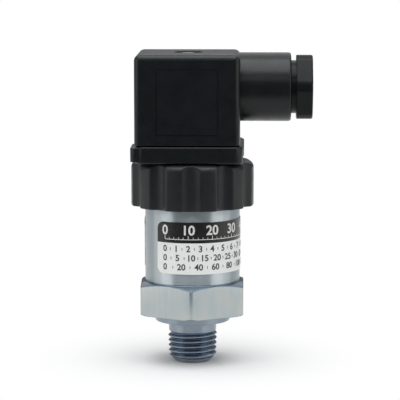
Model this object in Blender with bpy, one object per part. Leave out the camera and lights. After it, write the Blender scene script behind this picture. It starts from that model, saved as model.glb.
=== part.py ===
"""Pressure switch with a plug-on cable connector, built as an assembly of separate pieces.

Units are metres and +Z is up. The origin is the centre of the pressure port's end face, on
the axis of the steel body. The cable gland points along +X, and the wrench hexagon has two
flats across X. Every piece is placed from the driving dimensions below, from the port upwards.
"""

import math

import bmesh
import bpy

MM = 0.001
STEPS = 36                              # sides of a large round piece
SMALL_STEPS = 18                        # sides of a small round piece

# Clearances
GAP = 0.3 * MM                          # between a piece and its seat or running face
LABEL_GAP = 0.05 * MM                   # film of adhesive under the label

# Pipe connection of the steel body
PORT_RADIUS = 2.5 * MM
PORT_END_RADIUS = 4.65 * MM             # flat annulus around the port
THREAD_LENGTH = 8.0 * MM
THREAD_PITCH = 1.337 * MM
THREAD_ROOT_RADIUS = 5.6 * MM           # at the port end
THREAD_DEPTH = 0.65 * MM
THREAD_TAPER = 1.0 / 32.0               # growth of radius along the thread
RELIEF_RADIUS = 6.3 * MM
RELIEF_LENGTH = 2.9 * MM
BOSS_RADIUS = 9.9 * MM
BOSS_HEIGHT = 2.15 * MM

# Hexagon, barrel and spigot of the steel body
HEX_FLATS = 27.0 * MM
HEX_HEIGHT = 8.65 * MM
HEX_TOP_DROP = 1.0 * MM                 # how far the top chamfer lowers a corner
HEX_TOP_ANGLE = math.radians(24.0)
HEX_FOOT_RISE = 0.5 * MM                # how far the bottom chamfer raises a corner
HEX_FOOT_ANGLE = math.radians(30.0)
BODY_RADIUS = 12.5 * MM
BODY_HEIGHT = 19.7 * MM
SPIGOT_RADIUS = 11.7 * MM
SPIGOT_HEIGHT = 7.6 * MM
CHAMBER_RADIUS = 9.3 * MM               # bore that holds the main spring

# Label on the barrel
LABEL_FOOT = 3.2 * MM                   # above the hexagon
LABEL_HEIGHT = 13.6 * MM
LABEL_THICKNESS = 0.15 * MM
LABEL_START = math.radians(-44.5)       # from the front, positive towards +X
LABEL_SWEEP = math.radians(315.0)

# Pressure piston and its guide
BUSH_SEAT = 1.7 * MM                    # height of the bush's seat above the foot of the boss
BUSH_RADIUS = 5.7 * MM
BUSH_HEIGHT = 5.8 * MM
SEAL_POCKET_RADIUS = 4.6 * MM
SEAL_POCKET_DEPTH = 2.6 * MM
SEAL_WIRE_RADIUS = 0.75 * MM
BACKUP_THICKNESS = 0.4 * MM
PISTON_RADIUS = 2.5 * MM
PISTON_HEAD_RADIUS = 4.5 * MM
PISTON_HEAD_HEIGHT = 1.5 * MM
SEAT_HEIGHT = 1.8 * MM
SEAT_BOSS_RADIUS = 4.9 * MM
SEAT_BOSS_HEIGHT = 1.8 * MM
ROD_RADIUS = 1.5 * MM
ROD_SOCKET_DEPTH = 2.0 * MM

# Spring and its adjuster
SPRING_WIRE_RADIUS = 1.1 * MM
SPRING_COIL_RADIUS = 6.9 * MM
SPRING_TURNS = 5.0
WASHER_HEIGHT = 1.4 * MM
ADJUSTER_HEIGHT = 4.9 * MM
ADJUSTER_SLOT_WIDTH = 2.4 * MM
ADJUSTER_SLOT_DEPTH = 1.5 * MM
ADJUSTER_ROOM = 1.0 * MM                # free height left above the adjuster

# Switch cup on the rim of the body
CUP_FLANGE_HEIGHT = 1.3 * MM
CUP_DEPTH = 3.3 * MM                    # reach of the cup into the chamber
CUP_FLOOR = 1.5 * MM
CUP_WALL_RADIUS = 8.0 * MM              # inside of the cup
CUP_BOSS_RADIUS = 10.3 * MM             # outside, where the ring's lip passes
RIM_GROOVE_RADIUS = 10.5 * MM
RIM_GROOVE_WIDTH = 1.5 * MM
RIM_GROOVE_DEPTH = 1.2 * MM
RIM_SEAL_WIRE_RADIUS = 0.48 * MM

# Fluted ring
RING_RADIUS = 16.2 * MM
RING_LIP_HEIGHT = 2.65 * MM
RING_EDGE = 1.8 * MM                    # rounding of the upper edge
RING_FLUTES = 11
RING_FLUTE_DEPTH = 1.2 * MM
RING_FLUTE_HALF_ANGLE = math.radians(8.9)

# Switching mechanism
BUTTON_RADIUS = 1.6 * MM
BUTTON_HEAD_RADIUS = 2.2 * MM
BUTTON_HEAD_HEIGHT = 0.8 * MM
BUTTON_REACH = 0.2 * MM                 # below the cup
BLADE_THICKNESS = 0.3 * MM
BLADE_WIDTH = 2.4 * MM
BLADE_PIVOT = 5.0 * MM                  # from the body's axis
BLADE_TIP = 5.4 * MM
BLADE_TAIL = 0.8 * MM                   # behind the pivot
BLADE_LIFT = 1.3 * MM                   # rise of the tip over the full stroke
CONTACT_AT = 4.6 * MM                   # contact points, from the body's axis
CONTACT_RADIUS = 0.9 * MM
STRIP_THICKNESS = 0.6 * MM
STRIP_WIDTH = 3.0 * MM

# Flange that carries the connector pins
FLANGE_OFFSET = -0.65 * MM              # its centre, along X
FLANGE_WIDTH = 28.0 * MM
FLANGE_HEIGHT = 4.45 * MM
FLANGE_CORNER = 2.75 * MM
FLANGE_EDGE = 0.35 * MM
LUG_SPAN = 29.4 * MM                    # over both side lugs
LUG_LENGTH = 13.5 * MM
LUG_LEAD = 0.9 * MM                     # slope at the ends of a lug
LUG_DROP = 0.3 * MM                     # below the top of the flange
ISLAND_WIDTH = 20.6 * MM
ISLAND_HEIGHT = 1.8 * MM
ISLAND_CORNER = 1.5 * MM
PEG_RADIUS = 0.8 * MM
PEG_LENGTH = 1.2 * MM
PIN_SPACING = 18.0 * MM                 # between opposite pins
PIN_WIDTH = 6.3 * MM
PIN_THICKNESS = 0.8 * MM
PIN_LENGTH = 10.3 * MM                  # above the flange
INSERT_RADIUS = 3.0 * MM
INSERT_HEIGHT = 4.6 * MM

# Plug: hood with its cable barrel
PLUG_OFFSET = -1.1 * MM                 # its centre, along X
HOOD_WIDTH = 27.3 * MM
HOOD_HEIGHT = 23.4 * MM
HOOD_WALL = 1.85 * MM
HOOD_ROOF = 2.2 * MM
HOOD_CORNER = 1.5 * MM
HOOD_EDGE = 1.2 * MM
PANEL_WIDTH = 16.1 * MM
PANEL_HEIGHT = 17.2 * MM
PANEL_DROP = 3.7 * MM                   # below the top of the hood
PANEL_DEPTH = 0.3 * MM
GASKET_HEIGHT = 1.3 * MM
GASKET_SKIRT = 0.85 * MM                # hood wall that is left around the gasket
BARREL_DROP = 9.1 * MM                  # axis of the barrel below the top of the hood
BARREL_RADIUS = 9.0 * MM
BARREL_LENGTH = 13.3 * MM
BARREL_EDGE = 0.6 * MM
BARREL_WALL = 1.75 * MM
BARREL_THROAT_RADIUS = 5.5 * MM

# Retaining screw
RECESS_RADIUS = 3.95 * MM
RECESS_DEPTH = 3.7 * MM
RECESS_FLOOR = 1.5 * MM
RECESS_WALL = 1.2 * MM
SCREW_RADIUS = 1.5 * MM
SCREW_HEAD_RADIUS = 2.9 * MM
SCREW_HEAD_HEIGHT = 2.4 * MM
SCREW_SLOT_WIDTH = 0.8 * MM
SCREW_SLOT_DEPTH = 1.0 * MM
SCREW_WASHER_HEIGHT = 0.6 * MM
SCREW_END_GAP = 1.2 * MM                # below the screw, in the insert's hole

# Terminal block inside the hood
BLOCK_WIDTH = 23.0 * MM
BLOCK_HEIGHT = 8.5 * MM
BLOCK_CORNER = 1.0 * MM
TERMINAL_WALL = 0.8 * MM                # metal on each face of the pin
TERMINAL_SIDE = 0.5 * MM                # metal at each edge of the pin
TERMINAL_LUG_WIDTH = 5.4 * MM
TERMINAL_LUG_THICKNESS = 1.0 * MM
CLAMP_AT = 5.9 * MM                     # clamp screw, from the plug's axis
CLAMP_RADIUS = 1.2 * MM
CLAMP_LENGTH = 5.0 * MM
CLAMP_HEAD_RADIUS = 2.0 * MM
CLAMP_HEAD_HEIGHT = 1.2 * MM

# Cable gland
SEAL_LENGTH = 4.6 * MM
SEAL_BORE_RADIUS = 4.0 * MM
GLAND_WASHER_HEIGHT = 0.8 * MM
NUT_SHANK_RADIUS = 6.95 * MM
NUT_NECK = 1.4 * MM                     # shank that shows between barrel and nut
NUT_FLATS = 16.7 * MM
NUT_CORNER_CUT = 2.2 * MM               # width of the bevel on each corner
NUT_LENGTH = 4.2 * MM
NUT_EDGE = 0.5 * MM
NUT_BORE_RADIUS = 5.0 * MM
NUT_CLOCKING = math.radians(3.6)        # front corner above the gland's axis

# Heights, from the port upwards
relief_z = THREAD_LENGTH
boss_z = relief_z + RELIEF_LENGTH
hex_z = boss_z + BOSS_HEIGHT
body_z = hex_z + HEX_HEIGHT
shoulder_z = body_z + BODY_HEIGHT
rim_z = shoulder_z + SPIGOT_HEIGHT
bush_seat_z = boss_z + BUSH_SEAT
bush_z = bush_seat_z + GAP
chamber_z = bush_z + BUSH_HEIGHT + GAP
seat_z = chamber_z + PISTON_HEAD_HEIGHT + GAP
spring_z = seat_z + SEAT_HEIGHT + GAP
cup_z = rim_z + GAP - CUP_DEPTH
adjuster_z = cup_z - ADJUSTER_ROOM - ADJUSTER_HEIGHT
washer_z = adjuster_z - GAP - WASHER_HEIGHT
spring_top_z = washer_z - GAP
cup_flange_z = rim_z + GAP
cup_floor_z = cup_z + CUP_FLOOR
ring_z = shoulder_z + GAP
lip_z = cup_flange_z + CUP_FLANGE_HEIGHT + GAP
ring_top_z = lip_z + RING_LIP_HEIGHT
button_top_z = cup_floor_z + GAP + BUTTON_HEAD_HEIGHT
blade_z = button_top_z + GAP
flange_z = ring_top_z + GAP
flange_top_z = flange_z + FLANGE_HEIGHT
island_z = flange_top_z + ISLAND_HEIGHT
hood_z = flange_top_z + GAP
hood_top_z = hood_z + HOOD_HEIGHT
block_z = island_z + GAP
block_top_z = block_z + BLOCK_HEIGHT
barrel_z = hood_top_z - BARREL_DROP
recess_z = hood_top_z - RECESS_DEPTH
screw_head_z = recess_z + 2 * GAP + SCREW_WASHER_HEIGHT

# Sizes that follow from a neighbour and a clearance
ring_bore = SPIGOT_RADIUS + GAP
lip_bore = CUP_BOSS_RADIUS + GAP
hood_half = HOOD_WIDTH / 2
cavity_half = hood_half - HOOD_WALL
rod_hole = ROD_RADIUS + GAP
screw_hole = SCREW_RADIUS + GAP
shank_bore = BARREL_RADIUS - BARREL_WALL
pin_radius = PIN_SPACING / 2
barrel_end = hood_half + BARREL_LENGTH
gland_seat = hood_half


# ---------------------------------------------------------------- building tools

def clear_scene():
    """Start from an empty scene."""
    for item in list(bpy.data.objects):
        bpy.data.objects.remove(item)


def frame(name, parent=None, location=(0.0, 0.0, 0.0), rotation=(0.0, 0.0, 0.0)):
    """An empty that carries the pieces of one group, on the axis that they turn about."""
    empty = bpy.data.objects.new(name, None)
    empty.location = location
    empty.rotation_euler = rotation
    empty.parent = parent
    bpy.context.scene.collection.objects.link(empty)
    return empty


def finish_mesh(name, mesh, parent):
    """Turn a bmesh into a linked object with outward faces."""
    bmesh.ops.remove_doubles(mesh, verts=mesh.verts, dist=1e-7)
    bmesh.ops.recalc_face_normals(mesh, faces=mesh.faces)
    data = bpy.data.meshes.new(name)
    mesh.to_mesh(data)
    mesh.free()
    item = bpy.data.objects.new(name, data)
    item.parent = parent
    bpy.context.scene.collection.objects.link(item)
    return item


def turned(name, profile, parent, steps=STEPS):
    """A body of revolution about local Z, spun from a closed outline of (radius, height)."""
    mesh = bmesh.new()
    points = [mesh.verts.new((radius, 0.0, height)) for radius, height in profile]
    edges = [mesh.edges.new((points[i - 1], points[i])) for i in range(len(points))]
    bmesh.ops.spin(mesh, geom=points + edges, cent=(0.0, 0.0, 0.0), axis=(0.0, 0.0, 1.0),
                   angle=2 * math.pi, steps=steps, use_merge=True)
    bmesh.ops.remove_doubles(mesh, verts=mesh.verts, dist=1e-7)
    on_axis = [edge for edge in mesh.edges if not edge.link_faces]
    bmesh.ops.delete(mesh, geom=on_axis, context='EDGES')
    return finish_mesh(name, mesh, parent)


def tube(name, inner, outer, low, high, parent, steps=STEPS):
    """A plain ring with a square section."""
    profile = [(inner, low), (outer, low), (outer, high), (inner, high)]
    return turned(name, profile, parent, steps)


def rod(name, radius, low, high, parent, centre=(0.0, 0.0), steps=SMALL_STEPS):
    """A plain cylinder along local Z."""
    loops = [circle(radius, height, steps, centre) for height in (low, high)]
    return lofted(name, loops, parent)


def circle(radius, height, steps, centre=(0.0, 0.0)):
    """Points around a circle, for one level of a loft."""
    angles = [2 * math.pi * i / steps for i in range(steps)]
    return [(centre[0] + radius * math.cos(a), centre[1] + radius * math.sin(a), height)
            for a in angles]


def lofted(name, loops, parent):
    """A closed body through loops of points that all have the same number of points."""
    mesh = bmesh.new()
    rings = [[mesh.verts.new(point) for point in loop] for loop in loops]
    for lower, upper in zip(rings, rings[1:]):
        for i in range(len(lower)):
            mesh.faces.new((lower[i - 1], lower[i], upper[i], upper[i - 1]))
    mesh.faces.new(list(reversed(rings[0])))
    mesh.faces.new(rings[-1])
    return finish_mesh(name, mesh, parent)


def rounded_square(half, corner, height, centre_x=0.0, arc_steps=5):
    """One level of a square with rounded corners."""
    loop = []
    for quarter in range(4):
        turn = quarter * math.pi / 2
        middle = half - corner
        for step in range(arc_steps + 1):
            angle = step * math.pi / 2 / arc_steps
            x = middle + corner * math.cos(angle)
            y = middle + corner * math.sin(angle)
            loop.append((centre_x + x * math.cos(turn) - y * math.sin(turn),
                         x * math.sin(turn) + y * math.cos(turn), height))
    return loop


def box(name, low, high, parent):
    """A rectangular block between two corners."""
    loops = [[(low[0], low[1], z), (high[0], low[1], z), (high[0], high[1], z),
              (low[0], high[1], z)] for z in (low[2], high[2])]
    return lofted(name, loops, parent)


def combine(target, operation, *tools):
    """Add or cut each tool with a Boolean modifier, and hide the tool."""
    for tool in tools:
        modifier = target.modifiers.new(tool.name, 'BOOLEAN')
        modifier.operation = operation
        modifier.solver = 'EXACT'
        modifier.object = tool
        tool.hide_render = True
        tool.display_type = 'WIRE'
    return target


def finish_piece(piece, color, roughness, metallic=0.0):
    """Give a piece its own material and smooth round faces."""
    material = bpy.data.materials.new(piece.name)
    material.use_nodes = True
    shader = material.node_tree.nodes["Principled BSDF"]
    shader.inputs["Base Color"].default_value = (*color, 1.0)
    shader.inputs["Roughness"].default_value = roughness
    shader.inputs["Metallic"].default_value = metallic
    piece.data.materials.append(material)
    piece.data.shade_smooth()
    piece.data.set_sharp_from_angle(angle=math.radians(30))
    return piece


def steel(piece):
    return finish_piece(piece, (0.46, 0.50, 0.53), 0.35, 1.0)


def brass(piece):
    return finish_piece(piece, (0.72, 0.55, 0.28), 0.3, 1.0)


def black_plastic(piece):
    return finish_piece(piece, (0.022, 0.023, 0.024), 0.45)


def pale_plastic(piece):
    return finish_piece(piece, (0.62, 0.60, 0.54), 0.5)


def rubber(piece):
    return finish_piece(piece, (0.03, 0.03, 0.03), 0.75)


def around(angle, point):
    """Turn a point about the local Z axis."""
    x, y, z = point
    return (x * math.cos(angle) - y * math.sin(angle),
            x * math.sin(angle) + y * math.cos(angle), z)


# ---------------------------------------------------------------- steel body

def threaded_stub(parent):
    """The tapered male thread. Its rows of points follow the helix, so the crest stays sharp."""
    form = [(0.06, 0.0), (0.43, 1.0), (0.57, 1.0), (0.94, 0.0)]
    turns = math.ceil(THREAD_LENGTH / THREAD_PITCH) + 1
    run_out = THREAD_PITCH / 2
    rows = [(turn + part, depth) for turn in range(-1, turns) for part, depth in form]
    mesh = bmesh.new()
    columns = []
    for step in range(STEPS + 1):
        angle = 2 * math.pi * step / STEPS
        column = []
        for place, depth in rows:
            height = THREAD_PITCH * (place + step / STEPS)
            height = min(max(height, 0.0), THREAD_LENGTH)
            fade = min(1.0, (THREAD_LENGTH - height) / run_out)
            radius = THREAD_ROOT_RADIUS + THREAD_TAPER * height + THREAD_DEPTH * depth * fade
            radius = min(radius, PORT_END_RADIUS + height)
            column.append(mesh.verts.new((radius * math.cos(angle),
                                          radius * math.sin(angle), height)))
        columns.append(column)
    for left, right in zip(columns, columns[1:]):
        for i in range(len(rows) - 1):
            mesh.faces.new((left[i], right[i], right[i + 1], left[i + 1]))
    bmesh.ops.remove_doubles(mesh, verts=mesh.verts, dist=1e-6)
    bmesh.ops.dissolve_degenerate(mesh, edges=mesh.edges, dist=1e-6)
    rims = [edge for edge in mesh.edges if edge.is_boundary]
    bmesh.ops.holes_fill(mesh, edges=rims, sides=0)
    return finish_mesh("thread", mesh, parent)


def hexagon(parent):
    """Wrench hexagon with both ends chamfered by a cone."""
    corner = HEX_FLATS / 2 / math.cos(math.pi / 6)
    loops = [[(corner * math.sin(k * math.pi / 3), -corner * math.cos(k * math.pi / 3), z)
              for k in range(6)] for z in (hex_z, body_z)]
    prism = lofted("hexagon", loops, parent)
    top = corner - HEX_TOP_DROP / math.tan(HEX_TOP_ANGLE)
    foot = corner - HEX_FOOT_RISE / math.tan(HEX_FOOT_ANGLE)
    wide = corner + BODY_RADIUS / 8
    cone = turned("hexagon chamfer", [
        (0.0, hex_z - HEX_HEIGHT * 0.01), (foot - HEX_HEIGHT * 0.01, hex_z - HEX_HEIGHT * 0.01),
        (wide, hex_z + (wide - foot) * math.tan(HEX_FOOT_ANGLE)),
        (wide, body_z - (wide - top) * math.tan(HEX_TOP_ANGLE)),
        (top, body_z), (top - HEX_HEIGHT * 0.1, body_z + HEX_HEIGHT * 0.01),
        (0.0, body_z + HEX_HEIGHT * 0.01)], parent)
    return combine(prism, 'INTERSECT', cone)


def switch_body(parent):
    """Steel body: pipe thread, boss, hexagon, barrel and the spigot under the ring."""
    body = turned("switch_body", [
        (0.0, relief_z - RELIEF_LENGTH / 2), (PORT_END_RADIUS, relief_z - RELIEF_LENGTH / 2),
        (RELIEF_RADIUS, relief_z), (RELIEF_RADIUS, boss_z), (BOSS_RADIUS, boss_z),
        (BOSS_RADIUS, body_z - HEX_TOP_DROP), (BODY_RADIUS, body_z - HEX_TOP_DROP / 2),
        (BODY_RADIUS, shoulder_z), (SPIGOT_RADIUS, shoulder_z), (SPIGOT_RADIUS, rim_z),
        (0.0, rim_z)], parent)
    bore = turned("stepped bore", [
        (0.0, -GAP), (PORT_RADIUS, -GAP), (PORT_RADIUS, bush_seat_z),
        (BUSH_RADIUS + GAP, bush_seat_z), (BUSH_RADIUS + GAP, chamber_z),
        (CHAMBER_RADIUS, chamber_z), (CHAMBER_RADIUS, rim_z + GAP), (0.0, rim_z + GAP)],
        parent)
    groove = tube("rim groove", RIM_GROOVE_RADIUS - RIM_GROOVE_WIDTH / 2,
                  RIM_GROOVE_RADIUS + RIM_GROOVE_WIDTH / 2, rim_z - RIM_GROOVE_DEPTH,
                  rim_z + GAP, parent)
    combine(body, 'UNION', threaded_stub(parent), hexagon(parent))
    return steel(combine(body, 'DIFFERENCE', bore, groove))


def label(parent):
    """Thin sleeve around the barrel, open over the last part of the turn."""
    inner = BODY_RADIUS + LABEL_GAP
    outer = inner + LABEL_THICKNESS
    low = body_z + LABEL_FOOT
    high = low + LABEL_HEIGHT
    spread = round(STEPS * LABEL_SWEEP / (2 * math.pi))
    loops = []
    for step in range(spread + 1):
        angle = LABEL_START - math.pi / 2 + LABEL_SWEEP * step / spread
        loops.append([(radius * math.cos(angle), radius * math.sin(angle), height)
                      for radius, height in ((inner, low), (outer, low), (outer, high),
                                             (inner, high))])
    sleeve = lofted("label", loops, parent)
    return finish_piece(sleeve, (0.85, 0.85, 0.85), 0.35)


# ---------------------------------------------------------------- pressure piston

def seal_ring(name, coil_radius, wire_radius, height, parent, steps=SMALL_STEPS):
    """An O-ring: a round section turned about Z."""
    section = [(coil_radius + wire_radius * math.cos(k * math.pi / 4),
                height + wire_radius * math.sin(k * math.pi / 4)) for k in range(8)]
    return rubber(turned(name, section, parent, steps))


def piston_guide(parent):
    """Bush pressed into the body, with the piston's seal and backup ring in its pocket."""
    bore = PISTON_RADIUS + GAP
    pocket_z = bush_z + SEAL_POCKET_DEPTH
    bush = turned("guide_bush", [
        (SEAL_POCKET_RADIUS, bush_z), (BUSH_RADIUS, bush_z),
        (BUSH_RADIUS, bush_z + BUSH_HEIGHT), (bore, bush_z + BUSH_HEIGHT), (bore, pocket_z),
        (SEAL_POCKET_RADIUS, pocket_z)], parent, SMALL_STEPS)
    backup_z = pocket_z - GAP - BACKUP_THICKNESS
    backup = tube("backup_ring", bore, SEAL_POCKET_RADIUS - GAP, backup_z,
                  backup_z + BACKUP_THICKNESS, parent, SMALL_STEPS)
    seal_ring("piston_seal", (bore + SEAL_POCKET_RADIUS) / 2, SEAL_WIRE_RADIUS,
              backup_z - GAP / 2 - SEAL_WIRE_RADIUS, parent)
    brass(bush)
    pale_plastic(backup)


def piston_unit(parent):
    """Piston, the seat that it lifts, and the rod that carries its stroke upwards."""
    head_top = chamber_z + PISTON_HEAD_HEIGHT
    piston = turned("piston", [
        (0.0, bush_z), (PISTON_RADIUS, bush_z), (PISTON_RADIUS, chamber_z),
        (PISTON_HEAD_RADIUS, chamber_z), (PISTON_HEAD_RADIUS, head_top), (0.0, head_top)],
        parent, SMALL_STEPS)
    seat_top = seat_z + SEAT_HEIGHT
    boss_top = seat_top + SEAT_BOSS_HEIGHT
    seat = turned("spring_seat", [
        (0.0, seat_z), (CHAMBER_RADIUS - GAP, seat_z), (CHAMBER_RADIUS - GAP, seat_top),
        (SEAT_BOSS_RADIUS, seat_top), (SEAT_BOSS_RADIUS, boss_top), (rod_hole, boss_top),
        (rod_hole, boss_top - ROD_SOCKET_DEPTH), (0.0, boss_top - ROD_SOCKET_DEPTH)],
        parent, SMALL_STEPS * 2)
    push_rod = rod("push_rod", ROD_RADIUS, boss_top - ROD_SOCKET_DEPTH + GAP,
                   cup_z - BUTTON_REACH - GAP, parent, steps=16)
    steel(piston)
    steel(seat)
    steel(push_rod)


def main_spring(parent):
    """Round wire coiled about Z, with both ends closed."""
    low = spring_z + SPRING_WIRE_RADIUS
    high = spring_top_z - SPRING_WIRE_RADIUS
    steps_per_turn = 12
    sides = 6
    count = int(SPRING_TURNS * steps_per_turn)
    loops = []
    for step in range(count + 1):
        angle = 2 * math.pi * step / steps_per_turn
        height = low + (high - low) * step / count
        loops.append([around(angle, (
            SPRING_COIL_RADIUS + SPRING_WIRE_RADIUS * math.cos(k * 2 * math.pi / sides), 0.0,
            height + SPRING_WIRE_RADIUS * math.sin(k * 2 * math.pi / sides)))
            for k in range(sides)])
    return steel(lofted("main_spring", loops, parent))


# ---------------------------------------------------------------- adjuster

def thrust_washer(parent):
    """Washer between the spring and the adjusting screw."""
    return steel(tube("thrust_washer", rod_hole, CHAMBER_RADIUS - GAP, washer_z,
                      washer_z + WASHER_HEIGHT, parent))


def adjusting_screw(parent):
    """Hollow screw that loads the spring, with a slot for the setting tool."""
    top = adjuster_z + ADJUSTER_HEIGHT
    screw = tube("adjusting_screw", rod_hole, CHAMBER_RADIUS - GAP, adjuster_z, top, parent)
    reach = CHAMBER_RADIUS + GAP
    slot = box("adjuster slot", (-reach, -ADJUSTER_SLOT_WIDTH / 2, top - ADJUSTER_SLOT_DEPTH),
               (reach, ADJUSTER_SLOT_WIDTH / 2, top + GAP), parent)
    return brass(combine(screw, 'DIFFERENCE', slot))


# ---------------------------------------------------------------- fluted ring

def ring_level(radius, height):
    """One level of the ring: round, with hollow flutes, the first one facing the front."""
    flute_steps, land_steps = 6, 3
    pitch = 2 * math.pi / RING_FLUTES
    land = pitch - 2 * RING_FLUTE_HALF_ANGLE
    loop = []
    for flute in range(RING_FLUTES):
        middle = flute * pitch - math.pi / 2
        for step in range(flute_steps + 1):
            part = 2 * step / flute_steps - 1
            hollow = RING_RADIUS - RING_FLUTE_DEPTH * (1 - part * part)
            angle = middle + part * RING_FLUTE_HALF_ANGLE
            reach = min(radius, hollow)
            loop.append((reach * math.cos(angle), reach * math.sin(angle), height))
        for step in range(1, land_steps):
            angle = middle + RING_FLUTE_HALF_ANGLE + land * step / land_steps
            loop.append((radius * math.cos(angle), radius * math.sin(angle), height))
    return loop


def grip_ring(parent):
    """Ring that turns on the spigot and holds the cup's flange down under its lip."""
    levels = [ring_level(RING_RADIUS, ring_z)]
    arc_steps = 4
    for step in range(arc_steps + 1):
        angle = step * math.pi / 2 / arc_steps
        levels.append(ring_level(RING_RADIUS - RING_EDGE * (1 - math.cos(angle)),
                                 ring_top_z - RING_EDGE * (1 - math.sin(angle))))
    ring = lofted("grip_ring", levels, parent)
    bore = turned("ring bore", [
        (0.0, ring_z - GAP), (ring_bore, ring_z - GAP), (ring_bore, lip_z), (lip_bore, lip_z),
        (lip_bore, ring_top_z + GAP), (0.0, ring_top_z + GAP)], parent)
    return black_plastic(combine(ring, 'DIFFERENCE', bore))


# ---------------------------------------------------------------- switch cup

def peg_places():
    """Four places on the wall of the cup, between the pins."""
    radius = (CUP_WALL_RADIUS + CUP_BOSS_RADIUS) / 2
    return [around(math.pi / 4 + k * math.pi / 2, (radius, 0.0, 0.0))[:2] for k in range(4)]


def switch_cup(parent):
    """Insulating cup that stands in the rim of the body and holds the contacts."""
    top = flange_z - GAP
    flange_top = cup_flange_z + CUP_FLANGE_HEIGHT
    skirt = CHAMBER_RADIUS - GAP
    hole = BUTTON_RADIUS + GAP
    cup = turned("switch_cup", [
        (hole, cup_z), (skirt, cup_z), (skirt, cup_flange_z), (SPIGOT_RADIUS, cup_flange_z),
        (SPIGOT_RADIUS, flange_top), (CUP_BOSS_RADIUS, flange_top), (CUP_BOSS_RADIUS, top),
        (CUP_WALL_RADIUS, top), (CUP_WALL_RADIUS, cup_floor_z), (hole, cup_floor_z)], parent)
    holes = [rod(f"peg hole {k}", PEG_RADIUS + GAP, top - PEG_LENGTH, top + GAP, parent,
                 centre, 12) for k, centre in enumerate(peg_places())]
    return pale_plastic(combine(cup, 'DIFFERENCE', *holes))


def body_seal(parent):
    """O-ring in the rim of the body, under the cup's flange."""
    height = rim_z - RIM_GROOVE_DEPTH + GAP + RIM_SEAL_WIRE_RADIUS
    return seal_ring("body_seal", RIM_GROOVE_RADIUS, RIM_SEAL_WIRE_RADIUS, height, parent,
                     STEPS * 2 // 3)


def button(parent):
    """Plunger that passes the rod's stroke through the floor of the cup."""
    shoulder = cup_floor_z + GAP
    return pale_plastic(turned("button", [
        (0.0, cup_z - BUTTON_REACH), (BUTTON_RADIUS, cup_z - BUTTON_REACH),
        (BUTTON_RADIUS, shoulder), (BUTTON_HEAD_RADIUS, shoulder),
        (BUTTON_HEAD_RADIUS, button_top_z), (0.0, button_top_z)], parent, SMALL_STEPS))


def contact_blade(parent):
    """Spring blade that the button lifts. Its own origin is at its pivot."""
    half = BLADE_THICKNESS / 2
    return brass(box("contact_blade", (-BLADE_TAIL, -BLADE_WIDTH / 2, -half),
                     (BLADE_PIVOT + BLADE_TIP, BLADE_WIDTH / 2, half), parent))


# ---------------------------------------------------------------- pins and contacts

def pin_blade(name, parent):
    """One flat pin at radius pin_radius along local +X, with its width across it."""
    chamfer = PIN_THICKNESS / 3
    levels = [(flange_z + GAP, 0.0), (flange_top_z + PIN_LENGTH - 2 * chamfer, 0.0),
              (flange_top_z + PIN_LENGTH, chamfer)]
    loops = []
    for height, inset in levels:
        x = PIN_THICKNESS / 2 - inset
        y = PIN_WIDTH / 2 - inset
        loops.append([(pin_radius - x, -y, height), (pin_radius + x, -y, height),
                      (pin_radius + x, y, height), (pin_radius - x, y, height)])
    return lofted(name, loops, parent)


def foot_and_leg(pin, reach, leg_end, parent):
    """Strip from the pin inwards under the flange, then down beside the contacts."""
    half = STRIP_WIDTH / 2
    foot_top = flange_z + GAP + STRIP_THICKNESS
    foot = box(f"{pin.name} foot", (reach, -half, flange_z + GAP),
               (pin_radius, half, foot_top), parent)
    overlap = STRIP_THICKNESS / 2
    leg = box(f"{pin.name} leg", (reach, -half, leg_end),
              (reach + STRIP_THICKNESS, half, foot_top - overlap), parent)
    return combine(pin, 'UNION', foot, leg)


def common_terminal(parent):
    """Pin whose strip reaches the blade's pivot. Local +X points to the pin, at world -X."""
    reach = BLADE_PIVOT + BLADE_TAIL + GAP + PLUG_OFFSET
    arm_z = blade_z + BLADE_THICKNESS + GAP
    pin = foot_and_leg(pin_blade("common_terminal", parent), reach, arm_z, parent)
    arm = box("common arm", (reach - 2 * BLADE_TAIL, -STRIP_WIDTH / 2, arm_z),
              (reach + STRIP_THICKNESS, STRIP_WIDTH / 2, arm_z + STRIP_THICKNESS), parent)
    return brass(combine(pin, 'UNION', arm))


def normally_open_terminal(parent):
    """Pin whose strip ends above the tip of the blade."""
    reach = BLADE_TIP + 2 * GAP - PLUG_OFFSET
    arm_z = blade_z + BLADE_THICKNESS + BLADE_LIFT + GAP
    pin = foot_and_leg(pin_blade("normally_open_terminal", parent), reach, arm_z, parent)
    arm = box("open arm", (CONTACT_AT - CONTACT_RADIUS - PLUG_OFFSET, -STRIP_WIDTH / 2, arm_z),
              (reach + STRIP_THICKNESS, STRIP_WIDTH / 2, arm_z + STRIP_THICKNESS), parent)
    return brass(combine(pin, 'UNION', arm))


def normally_closed_terminal(parent):
    """Pin at the back whose strip runs over the floor of the cup to the tip of the blade.

    Local +X points to the pin, at world +Y, so that local -Y is world +X.
    """
    reach = CONTACT_AT + STRIP_THICKNESS
    floor = cup_floor_z + GAP
    top = floor + STRIP_THICKNESS
    side = PLUG_OFFSET - CONTACT_AT - CONTACT_RADIUS
    pin = foot_and_leg(pin_blade("normally_closed_terminal", parent), reach, floor, parent)
    along = box("closed arm", (CONTACT_AT - 2 * CONTACT_RADIUS, side, floor),
                (reach + STRIP_THICKNESS, STRIP_WIDTH / 2, top), parent)
    across = box("closed end", (-BLADE_WIDTH / 2, side, floor),
                 (reach - STRIP_THICKNESS / 2, side + 2 * CONTACT_RADIUS, top), parent)
    rivet = rod("closed rivet", CONTACT_RADIUS * 0.8, floor + STRIP_THICKNESS / 2,
                blade_z - GAP, parent, (0.0, side + CONTACT_RADIUS), 12)
    return brass(combine(pin, 'UNION', along, across, rivet))


def earth_pin(parent):
    return brass(pin_blade("earth_pin", parent))


# ---------------------------------------------------------------- flange

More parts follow.
